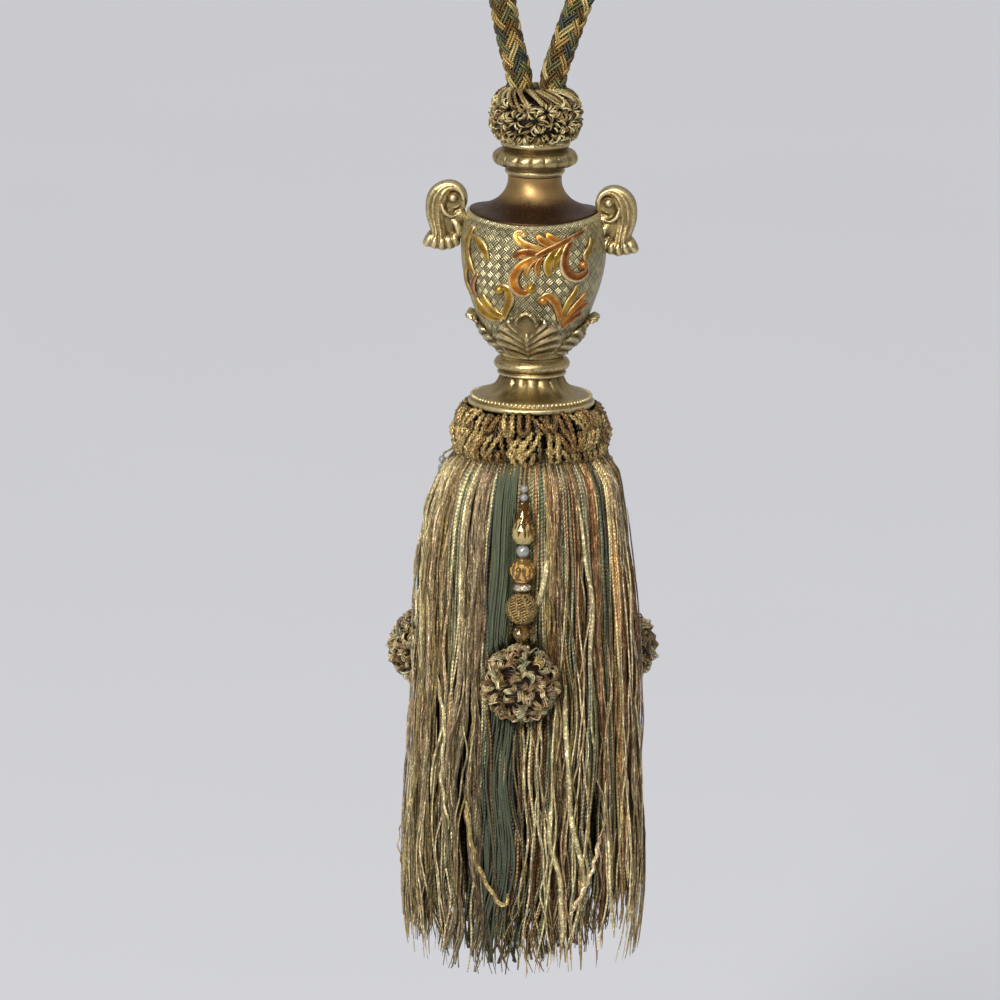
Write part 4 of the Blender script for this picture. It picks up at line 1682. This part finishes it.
def set_on_string(piece, name):
    """Put a bead that was modelled upright at the origin in its place on the front string."""
    upper, lower, line = bead_ends(name)
    tilt = math.atan2(line[0], -line[2])
    middle = Vector((upper + lower) / 2 * MM)
    piece.data.transform(Matrix.Translation(middle) @ Matrix.Rotation(-tilt, 4, "Y"))
    piece.data.transform(Matrix.Rotation(math.radians(HANGERS["front"]), 4, "Z"))


def lathe_bead(name, rows, steps):
    """A bead modelled upright at the origin, from its form's rows."""
    return turned(name, [(r, z - LOOP_DROP) for r, z in rows], steps, 1)


def set_round(spots, reach, turn):
    """Move places level to another distance from the axis and angle round it."""
    spots[:, 0], spots[:, 1] = reach * np.cos(turn), reach * np.sin(turn)
    return spots


class TASSEL_OT_beads(bpy.types.Operator):
    """Pearls, facetted amber, a twisted ring and a cord-wound ball on each of three threads"""
    bl_idname = "tassel.beads"
    bl_label = "Bead strings"

    def execute(self, context):
        bead = settings("beads")
        fronts = [(self.pearl(name, bead), name, "pearl")
                  for name in ("pearl_upper", "pearl_lower", "pearl_large")]
        fronts += [(self.amber(name, bead), name, "amber") for name in AMBER_FORMS]
        fronts.append((self.rondelle(bead), "twist_rondelle", "rose_metal"))
        fronts.append((self.wound_ball(bead), "wrapped_ball", "gold_cord"))
        for piece, name, slot in fronts:
            set_on_string(piece, name)
            for side in ("right", "left"):
                turn = math.radians(HANGERS[side] - HANGERS["front"])
                copy = moved_copy(piece, f"{name}_{side}_bead", Matrix.Rotation(turn, 4, "Z"))
                dress(copy, slot, f"{name}_{side}")
            piece.name = piece.data.name = f"{name}_front_bead"
            dress(piece, slot, f"{name}_front")

        finish = yarn("bead thread yarn", lay=0.8, depth=0.4, fleck=0.3)
        for side, degrees in HANGERS.items():
            batch = Batch(81)
            lead = [ring_point(math.radians(degrees), r, d) for r, d in THREAD_LEAD]
            lead += [string_point(side, d) for d in (142.0, 160.0, 185.0, 203.0)]
            batch.add(plies(spread(lead, 60)[None], 2, 0.24, 1.6), 0.27,
                      tones(bead, "cord")[0] * 0.8)
            dress(batch.piece(f"thread_{side}_cord", finish), "thread", f"thread_{side}")
        return {"FINISHED"}

    def pearl(self, name, bead):
        clear_selection()
        bpy.ops.mesh.primitive_uv_sphere_add(segments=28, ring_count=18,
                                             radius=BEAD_HEIGHTS[name] / 2 * MM)
        piece = bpy.context.object
        piece.name = piece.data.name = name + "_pearl"
        smooth_by_angle(piece, 80)
        piece.data.materials.append(pearl_coat("pearl coat", tuple(bead.pearl)))
        return piece

    def amber(self, name, bead):
        """A bead of triangular facets: every second round of corners is turned half a step."""
        piece = lathe_bead(name, AMBER_FORMS[name], AMBER_SIDES)
        spots = corner_positions(piece) / MM
        ring = np.round(spots[:, 2] * 10).astype(int).tolist()
        order = {z: i for i, z in enumerate(sorted(set(ring)))}
        twist = np.array([order[z] % 2 for z in ring]) * math.pi / AMBER_SIDES
        turn = np.arctan2(spots[:, 1], spots[:, 0]) + twist
        move_corners(piece, set_round(spots, np.hypot(spots[:, 0], spots[:, 1]), turn))
        select(piece)
        bpy.ops.object.mode_set(mode="EDIT")
        bpy.ops.mesh.select_all(action="SELECT")
        bpy.ops.mesh.quads_convert_to_tris()
        bpy.ops.mesh.normals_make_consistent(inside=False)
        bpy.ops.object.mode_set(mode="OBJECT")
        modify(piece, "BEVEL", width=0.00012, segments=1, limit_method="ANGLE",
               angle_limit=math.radians(8))
        shade(piece, False)
        if name == "amber_drop":
            upper, lower, _ = bead_ends(name)
            finish = glass("shaded amber", tuple(bead.amber), tuple(bead.honey),
                           lower[2] * MM - 0.0045, upper[2] * MM)
        else:
            dark, light = (0.28, 1.5) if name == "amber_round" else (0.05, 0.32)
            finish = glass(name.replace("_", " "), toned(bead.topaz, dark),
                           toned(bead.topaz, light), -0.5, -0.3)
        piece.data.materials.append(finish)
        return piece

    def rondelle(self, bead):
        """Ring with nine ribs that run aslant."""
        ring = lathe_bead("twist_rondelle", RONDELLE_FORM, 96)
        spots = corner_positions(ring) / MM
        reach = np.hypot(spots[:, 0], spots[:, 1])
        turn = np.arctan2(spots[:, 1], spots[:, 0])
        rib = 0.34 * np.cos(9 * turn + 2.0 * spots[:, 2]) * blend(1.6, 2.6, reach)
        move_corners(ring, set_round(spots, reach + rib, turn))
        mark_hollows(ring, 0.8, 1.6)
        smooth_by_angle(ring, 60)
        rose = tuple(bead.rose)
        ring.data.materials.append(gilding("rose gilding", rose, toned(rose, 1.5),
                                           toned(rose, 0.15), 0.24))
        return ring

    def wound_ball(self, bead):
        """Ball wound in cord whose rounds lie in zigzags."""
        batch = Batch(82)
        steps, rounds = 73, 12
        turn = np.linspace(0, TAU, steps)
        lines = []
        for i in range(rounds):
            middle = -5.1 + 10.2 * i / (rounds - 1)
            zig = np.abs((turn / TAU * 9 + 0.1 * i) % 1.0 - 0.5) * 4 - 1
            z = np.clip(middle + 0.5 * zig, -5.5, 5.5)
            reach = np.sqrt(np.clip(5.5 ** 2 - z ** 2, 0.5, None))
            lines.append(np.stack([reach * np.cos(turn), reach * np.sin(turn), z], axis=1))
        tint = tones(bead, "cord")[0]
        shade = batch.random.uniform(0.8, 1.2, (rounds, 1))
        batch.add(lines, 0.40, (tint * shade)[:, None], sides=4)
        batch.ball(np.zeros(3), 5.3, 10.4, 0.6 ** 0.5, tint * 0.12, 24)
        finish = yarn("wound cord yarn", lay=1.3, depth=0.6, fleck=0.2, glint=0.5, grain=20.0,
                      rough=0.4, metallic=0.35)
        return batch.piece("wrapped_ball", finish)


TUFT_YARNS = 5
TUFT_SPACING = 0.46


class TASSEL_OT_pompoms(bpy.types.Operator):
    """Round pompoms of curled yarn loops at the feet of the bead strings"""
    bl_idname = "tassel.pompoms"
    bl_label = "Pompoms"

    curls: IntProperty(name="Curls", description="Curled tufts in each pompom", default=270)

    def execute(self, context):
        group = settings("yarn")
        palette = tones(group, "gold", "straw", "silver", "peach", "rose", "bronze")
        finish = yarn("pompom yarn", lay=1.1, depth=0.3, fleck=0.25, glint=0.6, grain=20.0,
                      rough=0.32, metallic=0.4)
        for i, side in enumerate(HANGERS):
            batch = Batch(91 + i)
            centre = string_point(side, STRING_FOOT[1])
            strands, tint = self.tufts(batch.random, centre, palette)
            stand = np.linalg.norm(strands - centre, axis=-1)
            batch.add(strands, 0.17, in_shade(tint, stand, 11.0, 14.0, 0.16), sides=3)
            batch.ball(centre, 11.6, 22.8, 1.0, tones(group, "brown")[0] * 0.35, 20)
            dress(batch.piece(f"pompom_{side}_loops", finish), "pompom_yarn", f"pompom_{side}")
        return {"FINISHED"}

    def tufts(self, random, centre, palette):
        """Curled tufts of five yarns, spread evenly over a ball, and the yarns' colours."""
        n = self.curls
        k = np.arange(n) + 0.5
        polar = np.arccos(1 - 2 * k / n)
        turn = math.pi * (1 + math.sqrt(5)) * k + random.uniform(-0.12, 0.12, n)
        normal = np.stack([np.sin(polar) * np.cos(turn), np.sin(polar) * np.sin(turn),
                           np.cos(polar)], axis=1)
        spin = random.uniform(0, TAU, n)
        helper = unit(np.cross(normal, [0.3, 0.2, 1.0]))
        other = np.cross(normal, helper)
        across = helper * np.cos(spin)[:, None] + other * np.sin(spin)[:, None]
        beside = np.cross(normal, across)
        t = np.linspace(0, 1, 8)
        half = random.uniform(1.5, 2.5, (n, 1))
        base = random.uniform(10.8, 12.0, (n, 1))
        rise = random.uniform(2.2, 3.2, (n, 1))
        bow = random.uniform(-1.6, 1.6, (n, 1)) * np.sin(np.pi * t)
        twist = random.uniform(-0.6, 0.6, (n, 1)) \
            + random.choice([-1.3, 1.3], (n, 1)) * (t - 0.5)
        strands, colours = [], []
        tint = pick(random, palette, n) * random.uniform(0.75, 1.3, (n, 1))
        for j in range(TUFT_YARNS):
            aside = TUFT_SPACING * (j - TUFT_YARNS // 2) + random.uniform(-0.12, 0.12, (n, 1))
            up = base + rise * random.uniform(0.82, 1.12, (n, 1)) \
                * np.sin(np.pi * (0.04 + 0.92 * t)) ** 0.8 + aside * np.sin(twist)
            strands.append(centre + normal[:, None] * up[..., None]
                           + across[:, None] * (half * (2 * t - 1))[..., None]
                           + beside[:, None] * (bow + aside * np.cos(twist))[..., None])
            colours.append(tint * random.uniform(0.5, 1.8, (n, 1)))
        return np.concatenate(strands), np.concatenate(colours)


# ---------------------------------------------------------------- panel and start

class TASSEL_PT_panel(bpy.types.Panel):
    """Lists the tassel's pieces"""
    bl_idname = "TASSEL_PT_panel"
    bl_label = "Tieback tassel"
    bl_space_type = "VIEW_3D"
    bl_region_type = "UI"
    bl_category = "Tassel"

    def draw(self, context):
        for operator in OPERATORS:
            self.layout.operator(operator.bl_idname)
        for name in GROUPS:
            box = self.layout.box()
            box.label(text=name.capitalize())
            group = settings(name)
            for key in group.__annotations__:
                box.prop(group, key)


GROUPS = {"stage": StageSettings, "cord": CordSettings, "metal": MetalSettings,
          "yarn": YarnSettings, "beads": BeadSettings}
OPERATORS = [TASSEL_OT_stage, TASSEL_OT_cord, TASSEL_OT_top_ruff, TASSEL_OT_collar,
             TASSEL_OT_shoulder, TASSEL_OT_bowl, TASSEL_OT_ears, TASSEL_OT_foot,
             TASSEL_OT_skirt_ruff, TASSEL_OT_skirt, TASSEL_OT_beads, TASSEL_OT_pompoms]


def register():
    for kind in [*GROUPS.values(), *OPERATORS, TASSEL_PT_panel]:
        bpy.utils.register_class(kind)
    for name, kind in GROUPS.items():
        setattr(bpy.types.Scene, "tassel_" + name, PointerProperty(type=kind))


def unregister():
    for name in GROUPS:
        delattr(bpy.types.Scene, "tassel_" + name)
    for kind in [TASSEL_PT_panel, *reversed(OPERATORS), *reversed(GROUPS.values())]:
        bpy.utils.unregister_class(kind)


def main():
    register()
    for operator in OPERATORS:
        family, name = operator.bl_idname.split(".")
        getattr(getattr(bpy.ops, family), name)()


if __name__ == "__main__":
    main()
